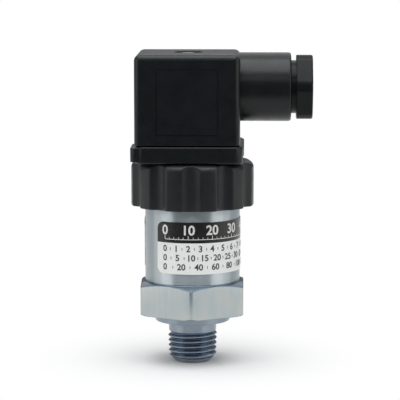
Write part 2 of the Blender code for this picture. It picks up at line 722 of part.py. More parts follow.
def pin_slot(name, low, high, parent):
    """Cutter for one pin, along local +X."""
    half_x = PIN_THICKNESS / 2 + GAP
    half_y = PIN_WIDTH / 2 + GAP
    return box(name, (pin_radius - half_x, -half_y, low), (pin_radius + half_x, half_y, high),
               parent)


def side_lug(name, turn, parent):
    """Rib along half of one side of the flange, with a sloping inner end."""
    inner = FLANGE_WIDTH / 2 - FLANGE_CORNER
    outer = LUG_SPAN / 2
    plan = [(inner, 0.0), (outer - LUG_LEAD, 0.0), (outer, LUG_LEAD * 3),
            (outer, LUG_LENGTH - LUG_LEAD), (outer - LUG_LEAD, LUG_LENGTH), (inner, LUG_LENGTH)]
    lug = lofted(name, [[around(turn, (x, y, z)) for x, y in plan]
                        for z in (flange_z + FLANGE_EDGE, flange_top_z - LUG_DROP)], parent)
    lug.location.x = PLUG_OFFSET
    return lug


def terminal_carrier(head, sides):
    """Square flange with its side lugs, pin island and the pegs that enter the cup."""
    half = FLANGE_WIDTH / 2
    edge_levels = [(flange_z, FLANGE_EDGE), (flange_z + FLANGE_EDGE, 0.0),
                   (flange_top_z - FLANGE_EDGE, 0.0), (flange_top_z, FLANGE_EDGE)]
    carrier = lofted("terminal_carrier", [
        rounded_square(half - inset, FLANGE_CORNER - inset, height, FLANGE_OFFSET)
        for height, inset in edge_levels], head)
    island = lofted("pin island", [
        rounded_square(ISLAND_WIDTH / 2, ISLAND_CORNER, height, PLUG_OFFSET, 3)
        for height in (flange_z + FLANGE_HEIGHT / 2, island_z)], head)
    combine(carrier, 'UNION', island)
    for name, turn in (("left lug", math.pi), ("right lug", 0.0)):
        combine(carrier, 'UNION', side_lug(name, turn, head))
    for k, centre in enumerate(peg_places()):
        peg = rod(f"peg {k}", PEG_RADIUS, flange_z - PEG_LENGTH, flange_z + PEG_LENGTH, head,
                  centre, 12)
        combine(carrier, 'UNION', peg)
    insert_hole = rod("insert hole", INSERT_RADIUS + GAP, island_z - INSERT_HEIGHT - GAP,
                      island_z + GAP, sides["open"])
    combine(carrier, 'DIFFERENCE', insert_hole)
    for side, place in sides.items():
        slot = pin_slot(f"{side} slot", flange_z - GAP, island_z + GAP, place)
        combine(carrier, 'DIFFERENCE', slot)
        if side != "earth":
            half_strip = STRIP_WIDTH / 2 + GAP
            channel = box(f"{side} channel",
                          (CONTACT_AT - GAP, -half_strip, flange_z - GAP),
                          (pin_radius, half_strip, flange_z + STRIP_THICKNESS + 2 * GAP),
                          place)
            combine(carrier, 'DIFFERENCE', channel)
    return black_plastic(carrier)


def threaded_insert(parent):
    """Brass insert that the retaining screw holds in."""
    return brass(tube("threaded_insert", screw_hole, INSERT_RADIUS, island_z - INSERT_HEIGHT,
                      island_z, parent, SMALL_STEPS))


def flat_gasket(parent):
    """Square frame between the flange and the hood."""
    outer = hood_half - GASKET_SKIRT - GAP
    low = flange_top_z + GAP
    high = low + GASKET_HEIGHT
    gasket = lofted("flat_gasket", [rounded_square(outer, HOOD_CORNER, z, 0.0, 3)
                                    for z in (low, high)], parent)
    window = lofted("gasket window", [
        rounded_square(ISLAND_WIDTH / 2 + GAP, ISLAND_CORNER + GAP, z, 0.0, 3)
        for z in (low - GAP, high + GAP)], parent)
    return rubber(combine(gasket, 'DIFFERENCE', window))


# ---------------------------------------------------------------- hood

def hood(parent, gland):
    """Plug housing: a rounded box, its cable barrel, and the tube around the screw."""
    levels = [(hood_z, 0.0)]
    arc_steps = 4
    for step in range(arc_steps + 1):
        angle = step * math.pi / 2 / arc_steps
        levels.append((hood_top_z - HOOD_EDGE * (1 - math.sin(angle)),
                       HOOD_EDGE * (1 - math.cos(angle))))
    shell = lofted("hood", [rounded_square(hood_half - inset, HOOD_CORNER - inset, height)
                            for height, inset in levels], parent)
    in_wall = hood_half - HOOD_WALL / 2
    barrel = turned("cable barrel", [
        (0.0, in_wall), (BARREL_RADIUS, in_wall), (BARREL_RADIUS, barrel_end - BARREL_EDGE),
        (BARREL_RADIUS - BARREL_EDGE, barrel_end), (shank_bore, barrel_end),
        (shank_bore, gland_seat), (0.0, gland_seat)], gland)
    gasket_half = hood_half - GASKET_SKIRT
    gasket_shoulder = hood_z + GASKET_HEIGHT + GAP
    cavity = lofted("hood cavity", [
        rounded_square(half, BLOCK_CORNER, height, 0.0, 3) for half, height in (
            (gasket_half, hood_z - GAP), (gasket_half, gasket_shoulder),
            (cavity_half, gasket_shoulder), (cavity_half, hood_top_z - HOOD_ROOF))], parent)
    tube_end = recess_z - RECESS_FLOOR
    screw_tube = rod("screw tube", RECESS_RADIUS + RECESS_WALL, tube_end,
                     hood_top_z - HOOD_ROOF / 2, parent)
    recess = turned("screw recess", [
        (0.0, tube_end - GAP), (screw_hole, tube_end - GAP), (screw_hole, recess_z),
        (RECESS_RADIUS, recess_z), (RECESS_RADIUS, hood_top_z + GAP),
        (0.0, hood_top_z + GAP)], parent, SMALL_STEPS * 3 // 2)
    throat = rod("barrel throat", BARREL_THROAT_RADIUS, cavity_half - GAP, gland_seat + GAP,
                 gland, steps=STEPS)
    panel_top = hood_top_z - PANEL_DROP
    panel = box("front panel",
                (-PANEL_WIDTH / 2, -hood_half - PANEL_DEPTH, panel_top - PANEL_HEIGHT),
                (PANEL_WIDTH / 2, -hood_half + PANEL_DEPTH, panel_top), parent)
    combine(shell, 'DIFFERENCE', cavity)
    combine(shell, 'UNION', screw_tube, barrel)
    combine(shell, 'DIFFERENCE', recess, panel, throat)
    return black_plastic(shell)


def socket_insert(parent, sides):
    """Terminal block that fits inside the hood, with one pocket for each terminal."""
    block = lofted("socket_insert", [
        rounded_square(BLOCK_WIDTH / 2, BLOCK_CORNER, height, 0.0, 3)
        for height in (block_z, block_top_z)], parent)
    passage = rod("screw passage", screw_hole, block_z - GAP, block_top_z + GAP, parent)
    combine(block, 'DIFFERENCE', passage)
    half_x = PIN_THICKNESS / 2 + TERMINAL_WALL + 2 * GAP
    half_y = PIN_WIDTH / 2 + TERMINAL_SIDE + 2 * GAP
    for side, place in sides.items():
        pocket = box(f"{side} pocket", (pin_radius - half_x, -half_y, block_z - GAP),
                     (pin_radius + half_x, half_y, block_top_z + GAP), place)
        clamp_hole = rod(f"{side} clamp hole", CLAMP_RADIUS + GAP,
                         block_top_z - CLAMP_LENGTH, block_top_z + GAP, place,
                         (CLAMP_AT, 0.0), 12)
        combine(block, 'DIFFERENCE', pocket, clamp_hole)
    return pale_plastic(block)


def socket_terminal(side, place):
    """Brass receptacle around one pin, with a lug for the clamp screw."""
    half_x = PIN_THICKNESS / 2 + TERMINAL_WALL + GAP
    half_y = PIN_WIDTH / 2 + TERMINAL_SIDE + GAP
    lug_z = block_top_z + GAP
    top = lug_z + TERMINAL_LUG_THICKNESS
    terminal = box(f"socket_terminal_{side}", (pin_radius - half_x, -half_y, block_z + GAP),
                   (pin_radius + half_x, half_y, top), place)
    half_lug = TERMINAL_LUG_WIDTH / 2
    lug = box(f"{side} lug", (CLAMP_AT - CLAMP_HEAD_RADIUS, -half_lug, lug_z),
              (pin_radius, half_lug, top), place)
    slot = pin_slot(f"{side} socket slot", block_z, top + GAP, place)
    hole = rod(f"{side} lug hole", CLAMP_RADIUS + GAP, lug_z - GAP, top + GAP, place,
               (CLAMP_AT, 0.0), 12)
    combine(terminal, 'UNION', lug)
    return brass(combine(terminal, 'DIFFERENCE', slot, hole))


def terminal_screw(side, place):
    """Clamp screw of one terminal, with a slotted head."""
    seat = block_top_z + 2 * GAP + TERMINAL_LUG_THICKNESS
    top = seat + CLAMP_HEAD_HEIGHT
    screw = turned(f"terminal_screw_{side}", [
        (0.0, block_top_z - CLAMP_LENGTH + GAP), (CLAMP_RADIUS, block_top_z - CLAMP_LENGTH + GAP),
        (CLAMP_RADIUS, seat), (CLAMP_HEAD_RADIUS, seat), (CLAMP_HEAD_RADIUS, top),
        (0.0, top)], place, 12)
    screw.location = (CLAMP_AT, 0.0, 0.0)
    reach = CLAMP_HEAD_RADIUS + GAP
    slot = box(f"{side} screw slot",
               (CLAMP_AT - reach, -CLAMP_RADIUS / 4, top - CLAMP_HEAD_HEIGHT / 2),
               (CLAMP_AT + reach, CLAMP_RADIUS / 4, top + GAP), place)
    return steel(combine(screw, 'DIFFERENCE', slot))


def retaining_screw(parent):
    """Long screw through hood and block into the insert, with its sealing washer."""
    washer_low = recess_z + GAP
    washer = tube("screw_washer", screw_hole, SCREW_HEAD_RADIUS, washer_low,
                  washer_low + SCREW_WASHER_HEIGHT, parent, SMALL_STEPS)
    top = screw_head_z + SCREW_HEAD_HEIGHT
    end = island_z - INSERT_HEIGHT - GAP + SCREW_END_GAP
    bevel = SCREW_SLOT_WIDTH / 2
    screw = turned("retaining_screw", [
        (0.0, end), (SCREW_RADIUS, end), (SCREW_RADIUS, screw_head_z),
        (SCREW_HEAD_RADIUS, screw_head_z), (SCREW_HEAD_RADIUS, top - bevel),
        (SCREW_HEAD_RADIUS - bevel, top), (0.0, top)], parent, SMALL_STEPS)
    reach = SCREW_HEAD_RADIUS + GAP
    slot = box("screw slot", (-reach, -SCREW_SLOT_WIDTH / 2, top - SCREW_SLOT_DEPTH),
               (reach, SCREW_SLOT_WIDTH / 2, top + GAP), parent)
    rubber(washer)
    steel(combine(screw, 'DIFFERENCE', slot))


# ---------------------------------------------------------------- cable gland

def nut_level(scale_down, height):
    """One level of the nut's outline: a hexagon whose corners are cut flat."""
    corner = NUT_FLATS / 2 / math.cos(math.pi / 6)
    cut = NUT_CORNER_CUT / 2 / math.sin(math.pi / 3)
    loop = []
    for k in range(6):
        here, before, after = [
            (corner * math.cos(a), corner * math.sin(a))
            for a in ((k + step) * math.pi / 3 - math.pi / 2 - NUT_CLOCKING
                      for step in (0, -1, 1))]
        for other in (before, after):
            share = cut / corner
            x = here[0] + (other[0] - here[0]) * share
            y = here[1] + (other[1] - here[1]) * share
            factor = 1 - scale_down / (NUT_FLATS / 2)
            loop.append((x * factor, y * factor, height))
    return loop


def gland_nut(gland):
    """Nut of the cable gland: bevelled hexagon, and the shank inside the barrel."""
    start = barrel_end + NUT_NECK
    end = start + NUT_LENGTH
    nut = lofted("gland_nut", [
        nut_level(NUT_EDGE, start), nut_level(0.0, start + NUT_EDGE),
        nut_level(0.0, end - NUT_EDGE), nut_level(NUT_EDGE, end)], gland)
    shank_start = gland_seat + 3 * GAP + SEAL_LENGTH + GLAND_WASHER_HEIGHT
    shank = rod("nut shank", NUT_SHANK_RADIUS, shank_start, start + NUT_LENGTH / 2, gland,
                steps=STEPS)
    bore = rod("nut bore", NUT_BORE_RADIUS, shank_start - GAP, end + GAP, gland, steps=STEPS)
    combine(nut, 'UNION', shank)
    return black_plastic(combine(nut, 'DIFFERENCE', bore))


def gland_seal(gland):
    """Rubber sleeve that closes on the cable."""
    start = gland_seat + GAP
    return rubber(tube("gland_seal", SEAL_BORE_RADIUS, shank_bore - GAP, start,
                       start + SEAL_LENGTH, gland))


def gland_washer(gland):
    """Thrust washer between the seal and the nut."""
    start = gland_seat + 2 * GAP + SEAL_LENGTH
    return steel(tube("gland_washer", NUT_BORE_RADIUS, NUT_SHANK_RADIUS, start,
                      start + GLAND_WASHER_HEIGHT, gland, SMALL_STEPS * 3 // 2))


# ---------------------------------------------------------------- assembly

def pin_sides(parent, names):
    """Four frames at the plug's centre, each with +X towards one pin."""
    turns = {"open": 0.0, "closed": math.pi / 2, "common": math.pi, "earth": -math.pi / 2}
    return {side: frame(f"{names} {side}", parent, rotation=(0.0, 0.0, turn))
            for side, turn in turns.items()}


def build():
    clear_scene()
    body = frame("body axis")
    switch_body(body)
    label(body)
    piston_guide(body)
    main_spring(body)
    body_seal(body)
    piston_unit(frame("piston axis", body))
    adjuster = frame("adjuster axis", body)
    thrust_washer(adjuster)
    adjusting_screw(adjuster)
    grip_ring(frame("ring axis", body))

    head = frame("head axis", body)
    pins = frame("pin centre", head, (PLUG_OFFSET, 0.0, 0.0))
    pin_places = pin_sides(pins, "pin")
    switch_cup(head)
    button(head)
    contact_blade(frame("blade pivot", head,
                        (-BLADE_PIVOT, 0.0, blade_z + BLADE_THICKNESS / 2)))
    common_terminal(pin_places["common"])
    normally_open_terminal(pin_places["open"])
    normally_closed_terminal(pin_places["closed"])
    earth_pin(pin_places["earth"])
    terminal_carrier(head, pin_places)
    threaded_insert(pins)
    flat_gasket(pins)

    plug = frame("plug axis", head, (PLUG_OFFSET, 0.0, 0.0))
    gland = frame("gland axis", plug, (0.0, 0.0, barrel_z), (0.0, math.pi / 2, 0.0))
    hood(plug, gland)
    socket_places = pin_sides(plug, "socket")
    socket_insert(plug, socket_places)
    for side, place in socket_places.items():
        socket_terminal(side, place)
        terminal_screw(side, place)
    retaining_screw(plug)
    gland_seal(gland)
    gland_washer(gland)
    gland_nut(gland)


build()
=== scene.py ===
"""Looks of the pressure switch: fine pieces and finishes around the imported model.

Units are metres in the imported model's frame. The origin is the centre of the pressure port's
end face, +Z runs up the body, and the cable gland points along +X.
"""

from math import atan, ceil, cos, hypot, pi, radians, sin, sqrt, tan

import bmesh
import bpy
from mathutils import Matrix, Vector


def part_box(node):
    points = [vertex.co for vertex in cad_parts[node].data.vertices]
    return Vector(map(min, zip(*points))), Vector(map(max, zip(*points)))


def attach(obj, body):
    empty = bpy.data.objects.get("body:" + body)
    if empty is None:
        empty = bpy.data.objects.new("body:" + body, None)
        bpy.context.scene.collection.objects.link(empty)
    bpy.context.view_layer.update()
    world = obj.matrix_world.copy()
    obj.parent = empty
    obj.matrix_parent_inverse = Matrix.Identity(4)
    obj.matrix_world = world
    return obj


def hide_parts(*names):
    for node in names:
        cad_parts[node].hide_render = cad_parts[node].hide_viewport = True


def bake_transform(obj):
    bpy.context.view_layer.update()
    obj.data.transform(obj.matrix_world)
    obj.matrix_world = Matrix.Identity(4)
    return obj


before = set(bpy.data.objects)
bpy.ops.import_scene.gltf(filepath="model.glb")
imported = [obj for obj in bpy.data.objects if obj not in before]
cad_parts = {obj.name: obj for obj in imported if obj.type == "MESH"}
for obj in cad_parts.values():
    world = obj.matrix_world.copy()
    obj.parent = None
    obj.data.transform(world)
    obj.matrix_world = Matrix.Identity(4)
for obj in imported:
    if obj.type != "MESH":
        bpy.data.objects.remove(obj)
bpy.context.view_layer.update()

MM = 0.001
GAP = 0.3 * MM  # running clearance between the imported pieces
QUARTER = pi / 2
HALF_SIDE = pi / 6  # half the angle that one side of a hexagon spans

# Edge widths used in several places, and distances for merging
FINE_EDGE = 0.1 * MM
SMALL_EDGE = 0.2 * MM
PLAIN_EDGE = 0.3 * MM
MERGE = 1e-7  # points closer than this are one
THREAD_MERGE = 1e-6  # the same, where a thread runs into a wall
PACKED_MERGE = 2e-6  # the same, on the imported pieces
SHARP_ANGLE = radians(32)  # edges above this angle are shaded sharp

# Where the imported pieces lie
body_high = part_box("switch_body")[1]
label_low, label_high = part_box("label")
ring_low, ring_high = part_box("grip_ring")
carrier_low, carrier_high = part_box("terminal_carrier")
hood_low, hood_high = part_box("hood")
nut_low, nut_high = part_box("gland_nut")
screw_low, screw_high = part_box("retaining_screw")
insert_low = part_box("threaded_insert")[0]
bush_low, bush_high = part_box("guide_bush")
spring_low, spring_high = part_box("main_spring")

# Pipe thread and boss
PORT_RADIUS = 2.5 * MM
PORT_EDGE = 0.25 * MM
PORT_END_RADIUS = 4.65 * MM
THREAD_LENGTH = 8.0 * MM
THREAD_PITCH = 1.337 * MM
THREAD_ROOT_RADIUS = 5.6 * MM
THREAD_DEPTH = 0.65 * MM
THREAD_TAPER = 1.0 / 32.0
RELIEF_RADIUS = 6.3 * MM
RELIEF_RISE = 0.15 * MM  # slope between the thread and the relief
RELIEF_FILLET = 0.5 * MM
BOSS_Z = 10.9 * MM
BOSS_RADIUS = 9.9 * MM
BOSS_EDGE = 0.35 * MM

# Hexagon and barrel
HEX_Z = 13.05 * MM
HEX_TOP_Z = 21.7 * MM
HEX_CORNER = 1.1 * MM  # rounding of the upright corners
HEX_TOP_DROP = 1.0 * MM
HEX_TOP_ANGLE = radians(24.0)
HEX_TOP_EDGE = 0.16 * MM
HEX_FOOT_RISE = 0.5 * MM
HEX_FOOT_ANGLE = radians(30.0)
HEX_FOOT_EDGE = 0.14 * MM
BODY_RADIUS = 12.5 * MM
BODY_COLUMNS = 144  # points around the body, besides those at its corners
CORNER_COLUMNS = (0.55, 1.1, 1.6, 2.1)  # degrees to either side of a corner
SHOULDER_Z = 41.4 * MM
SPIGOT_RADIUS = 11.7 * MM
RIM_GROOVE = (9.75 * MM, 11.25 * MM, 1.2 * MM)  # inner and outer radius, depth
RIM_EDGE = 0.15 * MM

# Label
LABEL_START = radians(-44.5)
LABEL_SWEEP = radians(315.0)
LABEL_CORNER = 1.9 * MM
LABEL_BAND_Z = 33.1 * MM  # lower edge of the dark band
LABEL_FILM = 0.12 * MM
PRINT_RISE = 0.035 * MM
PRINT_BOLD = 0.022  # how far each stroke is thickened, as a share of size
PRINT_MARGIN = 2.6 * MM  # from the start of the label to the first number
PRINT_LINE = 0.16 * MM
PRINT_PIECE = 1.0 * MM  # about how long each straight piece of a printed line is
SCALE_Z = LABEL_BAND_Z + 1.05 * MM  # base line of the white scale
SCALE_PARTS = 10  # each with a number and five ticks
SCALE_TICK = 0.85 * MM
SCALE_SMALL_TICK = 0.5 * MM
SCALE_RISE = 1.15 * MM  # from the base line to the foot of the numbers
SCALE_SIZE = 3.5 * MM
ROW_STEPS = ((1, 20), (5, 18), (20, 14))  # each dark row's step and how many steps
ROW_TOP = 5.95 * MM  # foot of the highest row over the label's lower edge
ROW_PITCH = 2.4 * MM
ROW_SIZE = 2.25 * MM
ROW_BAR = (0.35 * MM, 1.05 * MM)  # ends of a bar between two numbers, over their foot

# Fluted ring
RING_EDGE = 1.8 * MM
RING_FOOT_EDGE = 0.45 * MM
RING_FLUTES = 11
RING_FLUTE_DEPTH = 1.2 * MM
RING_FLUTE_HALF_ANGLE = radians(8.9)
RING_SOFT_EDGE = 0.10 * MM  # how softly a flute meets the land beside it
RING_LIP_Z = 50.9 * MM
RING_LIP = 1.1 * MM  # how far the lip reaches in over the spigot
RING_COLUMNS = 28  # points around the ring for each flute
RING_INSIDE = 0.03 * MM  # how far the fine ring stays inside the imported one

# Flange that carries the pins
FLANGE_OFFSET = -0.65 * MM
FLANGE_HALF = 14.0 * MM
FLANGE_CORNER = 2.75 * MM
FLANGE_EDGE = 0.45 * MM
LUG_LENGTH = 13.5 * MM
LUG_LEAD = 0.9 * MM
LUG_DROP = 0.3 * MM  # below the top of the flange
LUG_TOP_EDGE = 0.25 * MM
LUG_CORNER = 0.4 * MM
LUG_END_CORNER = 0.5 * MM
ISLAND_HALF = 10.3 * MM
ISLAND_CORNER = 1.5 * MM
STRIP_HALF = 1.5 * MM
STRIP_THICKNESS = 0.6 * MM
CONTACT_AT = 4.6 * MM
INSERT_RADIUS = 3.0 * MM
PEG_RADIUS = 0.8 * MM
PEG_LENGTH = 1.2 * MM
PEG_AT = 9.15 * MM
PIN_RADIUS = 9.0 * MM
PIN_THICKNESS = 0.8 * MM
PIN_WIDTH = 6.3 * MM
PIN_TURNS = {"open": 0.0, "closed": QUARTER, "common": pi, "earth": -QUARTER}

# Plug
PLUG_OFFSET = -1.1 * MM
HOOD_WALL = 1.85 * MM
HOOD_ROOF = 2.2 * MM
HOOD_CORNER = 1.7 * MM
HOOD_EDGE = 1.65 * MM
HOOD_FOOT_EDGE = 0.18 * MM
CAVITY_CORNER = 1.0 * MM
PANEL_WIDTH = 16.1 * MM
PANEL_HEIGHT = 17.2 * MM
PANEL_DROP = 3.7 * MM
PANEL_DEPTH = 0.3 * MM
PANEL_GROOVE = 0.28 * MM  # width of the groove around the panel
PANEL_SINK = 0.08 * MM  # how far the panel lies below the hood's face
PANEL_EDGE = 0.05 * MM
PANEL_CORNER = 0.35 * MM
GASKET_HEIGHT = 1.3 * MM
GASKET_SKIRT = 0.85 * MM
BARREL_DROP = 9.1 * MM
BARREL_RADIUS = 9.0 * MM
BARREL_EDGE = 0.6 * MM
BARREL_EASE = 1.3  # length of the rounding's cut, in edge widths
BARREL_WALL = 1.75 * MM
BARREL_THROAT_RADIUS = 5.5 * MM
RECESS_RADIUS = 3.95 * MM
RECESS_DEPTH = 3.7 * MM
RECESS_FLOOR = 1.5 * MM
RECESS_FLOOR_EDGE = 0.15 * MM
RECESS_WALL = 1.2 * MM
RECESS_EDGE = 0.08 * MM
SCREW_RADIUS = 1.5 * MM
SCREW_HEAD_RADIUS = 2.9 * MM
SCREW_HEAD_HEIGHT = 2.4 * MM
SCREW_HEAD_EDGE = 0.15 * MM
SCREW_DOME_RADIUS = 18.0 * MM  # radius of the head's raised top
SCREW_DOME_STEPS = 18
SCREW_CROWN_RADIUS = 2.0 * MM  # where the raised top turns down
SCREW_CROWN_FALL = 1.1 * MM
SCREW_CROWN_SHARE = 0.97  # below 1, so that the rim isn't quite upright
SCREW_SLOT_WIDTH = 0.8 * MM
SCREW_SLOT_DEPTH = 1.0 * MM
SCREW_PITCH = 0.5 * MM
SCREW_THREAD_LENGTH = 6.0 * MM
SCREW_THREAD_DEPTH = 0.28 * MM
SCREW_POINT_EDGE = 0.2 * MM

# Main spring
SPRING_WIRE_RADIUS = 1.1 * MM
SPRING_TURNS = 5.0
SPRING_STEPS = 40  # for each turn
SPRING_WIRE_STEPS = 14

# Cable gland
NUT_LENGTH = 4.2 * MM
NUT_FLATS = 16.7 * MM
NUT_CORNER_CUT = 2.2 * MM
NUT_EDGE = 0.5 * MM
NUT_INNER_EDGE = 0.12 * MM
NUT_SOFT_CORNER = 0.6 * MM
NUT_CLOCKING = radians(3.6)  # front corner above the gland's axis
NUT_BORE_RADIUS = 5.0 * MM
NUT_BORE_BEVEL = 0.5 * MM
SHANK_RADIUS = 6.95 * MM
SHANK_PITCH = 1.5 * MM
SHANK_THREAD_DEPTH = 0.55 * MM

FLANK_FORM = [(0.0, 0.0), (0.05, 0.0), (0.1, 0.06), (0.4, 0.92), (0.45, 1.0), (0.55, 1.0),
              (0.6, 0.92), (0.9, 0.06), (0.95, 0.0)]    # one turn of a thread: place, depth


def reach_of(node):
    """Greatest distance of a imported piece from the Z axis."""
    return max(hypot(v.co.x, v.co.y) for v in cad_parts[node].data.vertices)


ring_radius = reach_of("grip_ring") - RING_INSIDE
chamber_radius = reach_of("spring_seat") + GAP
flange_z = ring_high.z + GAP
flange_top_z = hood_low.z - GAP
lug_half_span = (carrier_high.x - carrier_low.x) / 2
hood_half = hood_high.y
barrel_z = hood_high.z - BARREL_DROP
barrel_end = hood_high.x - PLUG_OFFSET
recess_z = hood_high.z - RECESS_DEPTH
island_z = carrier_high.z
cavity_half = hood_half - HOOD_WALL
rod_hole = SCREW_RADIUS + GAP


# ---- outlines

def around(count, start=0.0):
    """Even directions around an axis, in radians."""
    return [2 * pi * k / count + start for k in range(count)]


def polar(radius, angle, height):
    """The point at a radius, a direction around Z and a height."""
    return (radius * cos(angle), radius * sin(angle), height)


def bend(before, corner, after, cut, steps):
    """Points that round a corner of an outline, from cut before it to cut after it."""
    p, q, r = (Vector(point) for point in (before, corner, after))
    cut = min(cut, (p - q).length * 0.48, (r - q).length * 0.48)
    if cut < MERGE:
        return [tuple(q)] * (steps + 1)
    start = q + (p - q).normalized() * cut
    end = q + (r - q).normalized() * cut
    points = []
    for step in range(steps + 1):
        t = step / steps
        points.append(tuple(start * (1 - t) ** 2 + q * (2 * t * (1 - t)) + end * t ** 2))
    return points


def eased(outline, closed=True, steps=3):
    """An outline of (x, y) or (x, y, cut) with each corner that has a cut rounded off."""
    points = []
    for i, corner in enumerate(outline):
        cut = corner[2] if len(corner) > 2 else 0.0
        inner = closed or 0 < i < len(outline) - 1
        if cut and inner:
            before = outline[i - 1][:2]
            after = outline[(i + 1) % len(outline)][:2]
            points += bend(before, corner[:2], after, cut, steps)
        else:
            points.append(tuple(corner[:2]))
    return points


def rounded_square(half, corner, height, centre_x, steps=8):
    """One level of a square with rounded corners."""
    loop = []
    for turn in around(4):
        middle = half - corner
        for step in range(steps + 1):
            x, y, z = polar(corner, QUARTER * step / steps, height)
            x += middle
            y += middle
            loop.append((centre_x + x * cos(turn) - y * sin(turn),
                         x * sin(turn) + y * cos(turn), z))
    return loop


def top_levels(high, edge, steps):
    """(height, inset) pairs of a block's rounded upper edge."""
    rises = [QUARTER * step / steps for step in range(steps + 1)]
    return [(high - edge * (1 - sin(a)), edge * (1 - cos(a))) for a in rises]


def edge_levels(low, high, low_edge, high_edge, steps):
    """(height, inset) pairs of a block whose lower and upper edges are rounded."""
    rises = [QUARTER * step / steps for step in range(steps + 1)]
    foot = [(low + low_edge * (1 - cos(a)), low_edge * (1 - sin(a))) for a in rises]
    return foot + top_levels(high, high_edge, steps)


# ---- meshes

def linked(name, data):
    """A new object in the scene."""
    item = bpy.data.objects.new(name, data)
    bpy.context.scene.collection.objects.link(item)
    return item


def new_object(name, mesh, merge=MERGE):
    """Turn a bmesh into a linked object with outward faces."""
    bmesh.ops.remove_doubles(mesh, verts=mesh.verts, dist=merge)
    bmesh.ops.dissolve_degenerate(mesh, edges=mesh.edges, dist=MERGE)
    bmesh.ops.recalc_face_normals(mesh, faces=mesh.faces)
    data = bpy.data.meshes.new(name)
    mesh.to_mesh(data)
    mesh.free()
    return linked(name, data)


def capped(name, mesh):
    """Close the round ends that a turned wall leaves open, and make it an object."""
    bmesh.ops.remove_doubles(mesh, verts=mesh.verts, dist=THREAD_MERGE)
    rims = [edge for edge in mesh.edges if edge.is_boundary]
    bmesh.ops.holes_fill(mesh, edges=rims, sides=0)
    return new_object(name, mesh, THREAD_MERGE)


def lofted(name, loops, caps=True):
    """A body through loops of points that all have the same number of points."""
    mesh = bmesh.new()
    rings = [[mesh.verts.new(point) for point in loop] for loop in loops]
    for lower, upper in zip(rings, rings[1:]):
        for i in range(len(lower)):
            mesh.faces.new((lower[i - 1], lower[i], upper[i], upper[i - 1]))
    if caps:
        mesh.faces.new(list(reversed(rings[0])))
        mesh.faces.new(rings[-1])
    return new_object(name, mesh)


def rounded_block(name, half, corner, centre_x, levels, steps=8):
    """Square block with rounded corners, from (height, inset) levels."""
    return lofted(name, [rounded_square(half - inset, corner - inset, height, centre_x, steps)
                         for height, inset in levels])


def turned(name, outline, steps, corner_steps=3):
    """A body of revolution about Z from a closed outline of (radius, height, cut)."""
    points = eased(outline, True, corner_steps)
    loops = [[polar(r, angle, z) for r, z in points] for angle in around(steps)]
    loops.append(loops[0])
    return lofted(name, loops, caps=False)


def bridge(mesh, columns):
    """Faces between open columns of points that stand side by side."""
    for left, right in zip(columns, columns[1:]):
        for i in range(len(left) - 1):
            mesh.faces.new((left[i], right[i], right[i + 1], left[i + 1]))


def threaded_rows(mesh, angles, pitch, low, high, radius_at):
    """Wall of a right-hand thread between two heights. Its rows follow the helix."""
    turns = ceil((high - low) / pitch) + 1
    rows = [(turn + part, depth) for turn in range(-1, turns) for part, depth in FLANK_FORM]
    columns = []
    for angle in angles + [2 * pi]:
        column = []
        for place, depth in rows:
            height = low + pitch * (place + angle / (2 * pi))
            height = min(max(height, low), high)
            column.append(mesh.verts.new(polar(radius_at(height, depth), angle, height)))
        columns.append(column)
    bridge(mesh, columns)


def swept_rows(mesh, angles, outline_at):
    """Wall around Z whose outline of (radius, height) may change with the angle."""
    columns = []
    for angle in angles:
        columns.append([mesh.verts.new(polar(r, angle, z)) for r, z in outline_at(angle)])
    columns.append(columns[0])
    bridge(mesh, columns)


def box(name, low, high):
    """Block between two corners."""
    loops = [[(low[0], low[1], z), (high[0], low[1], z), (high[0], high[1], z),
              (low[0], high[1], z)] for z in (low[2], high[2])]
    return lofted(name, loops)


def rod(name, radius, low, high, centre=(0.0, 0.0), steps=64):
    """Upright cylinder between two heights."""
    loops = []
    for z in (low, high):
        loops.append([(centre[0] + radius * cos(angle), centre[1] + radius * sin(angle),
                       z) for angle in around(steps)])
    return lofted(name, loops)


def on_plug(item, turn=0.0):
    """Shift a mesh made about Z onto the plug's axis, turned. Its object stays at the origin."""
    item.data.transform(Matrix.Translation((PLUG_OFFSET, 0.0, 0.0))
                        @ Matrix.Rotation(turn, 4, 'Z'))
    return item


def along_x(item):
    """Lay a mesh made about Z along the axis of the cable gland."""
    item.data.transform(Matrix.Translation((PLUG_OFFSET, 0.0, barrel_z))
                        @ Matrix.Rotation(QUARTER, 4, 'Y'))
    return item


def apply_modifiers(item):
    """Replace an object's mesh by what its modifiers make of it."""
    view = bpy.context.evaluated_depsgraph_get()
    data = bpy.data.meshes.new_from_object(item.evaluated_get(view))
    item.modifiers.clear()
    item.data = data


def combine(target, operation, *tools):
    """Add or cut each tool with an exact Boolean, then delete the tool."""
    for tool in tools:
        modifier = target.modifiers.new(tool.name, 'BOOLEAN')
        modifier.operation = operation
        modifier.solver = 'EXACT'
        modifier.object = tool
        apply_modifiers(target)
        bpy.data.objects.remove(tool)


def dress(item, body, finish, slot, *nodes):
    """Give a new piece its finish, its body if it has just one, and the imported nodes' place."""
    item.data.materials.clear()
    item.data.materials.append(FINISH[finish])
    item.data.shade_smooth()
    item.data.set_sharp_from_angle(angle=SHARP_ANGLE)
    if body:
        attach(item, body)
    if nodes:
        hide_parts(*nodes)


# ---- finishes

def add_node(owner, kind, inputs=(), **settings):
    """Add a shader node. An input gets a value, or a link from another node's output."""
    node = owner.node_tree.nodes.new("ShaderNode" + kind)
    for name, value in settings.items():
        setattr(node, name, value)
    for socket, value in dict(inputs).items():
        if isinstance(value, bpy.types.NodeSocket):
            owner.node_tree.links.new(value, node.inputs[socket])
        else:
            node.inputs[socket].default_value = value
    return node


def principled(material):
    """The main shader of a material."""
    return material.node_tree.nodes["Principled BSDF"]


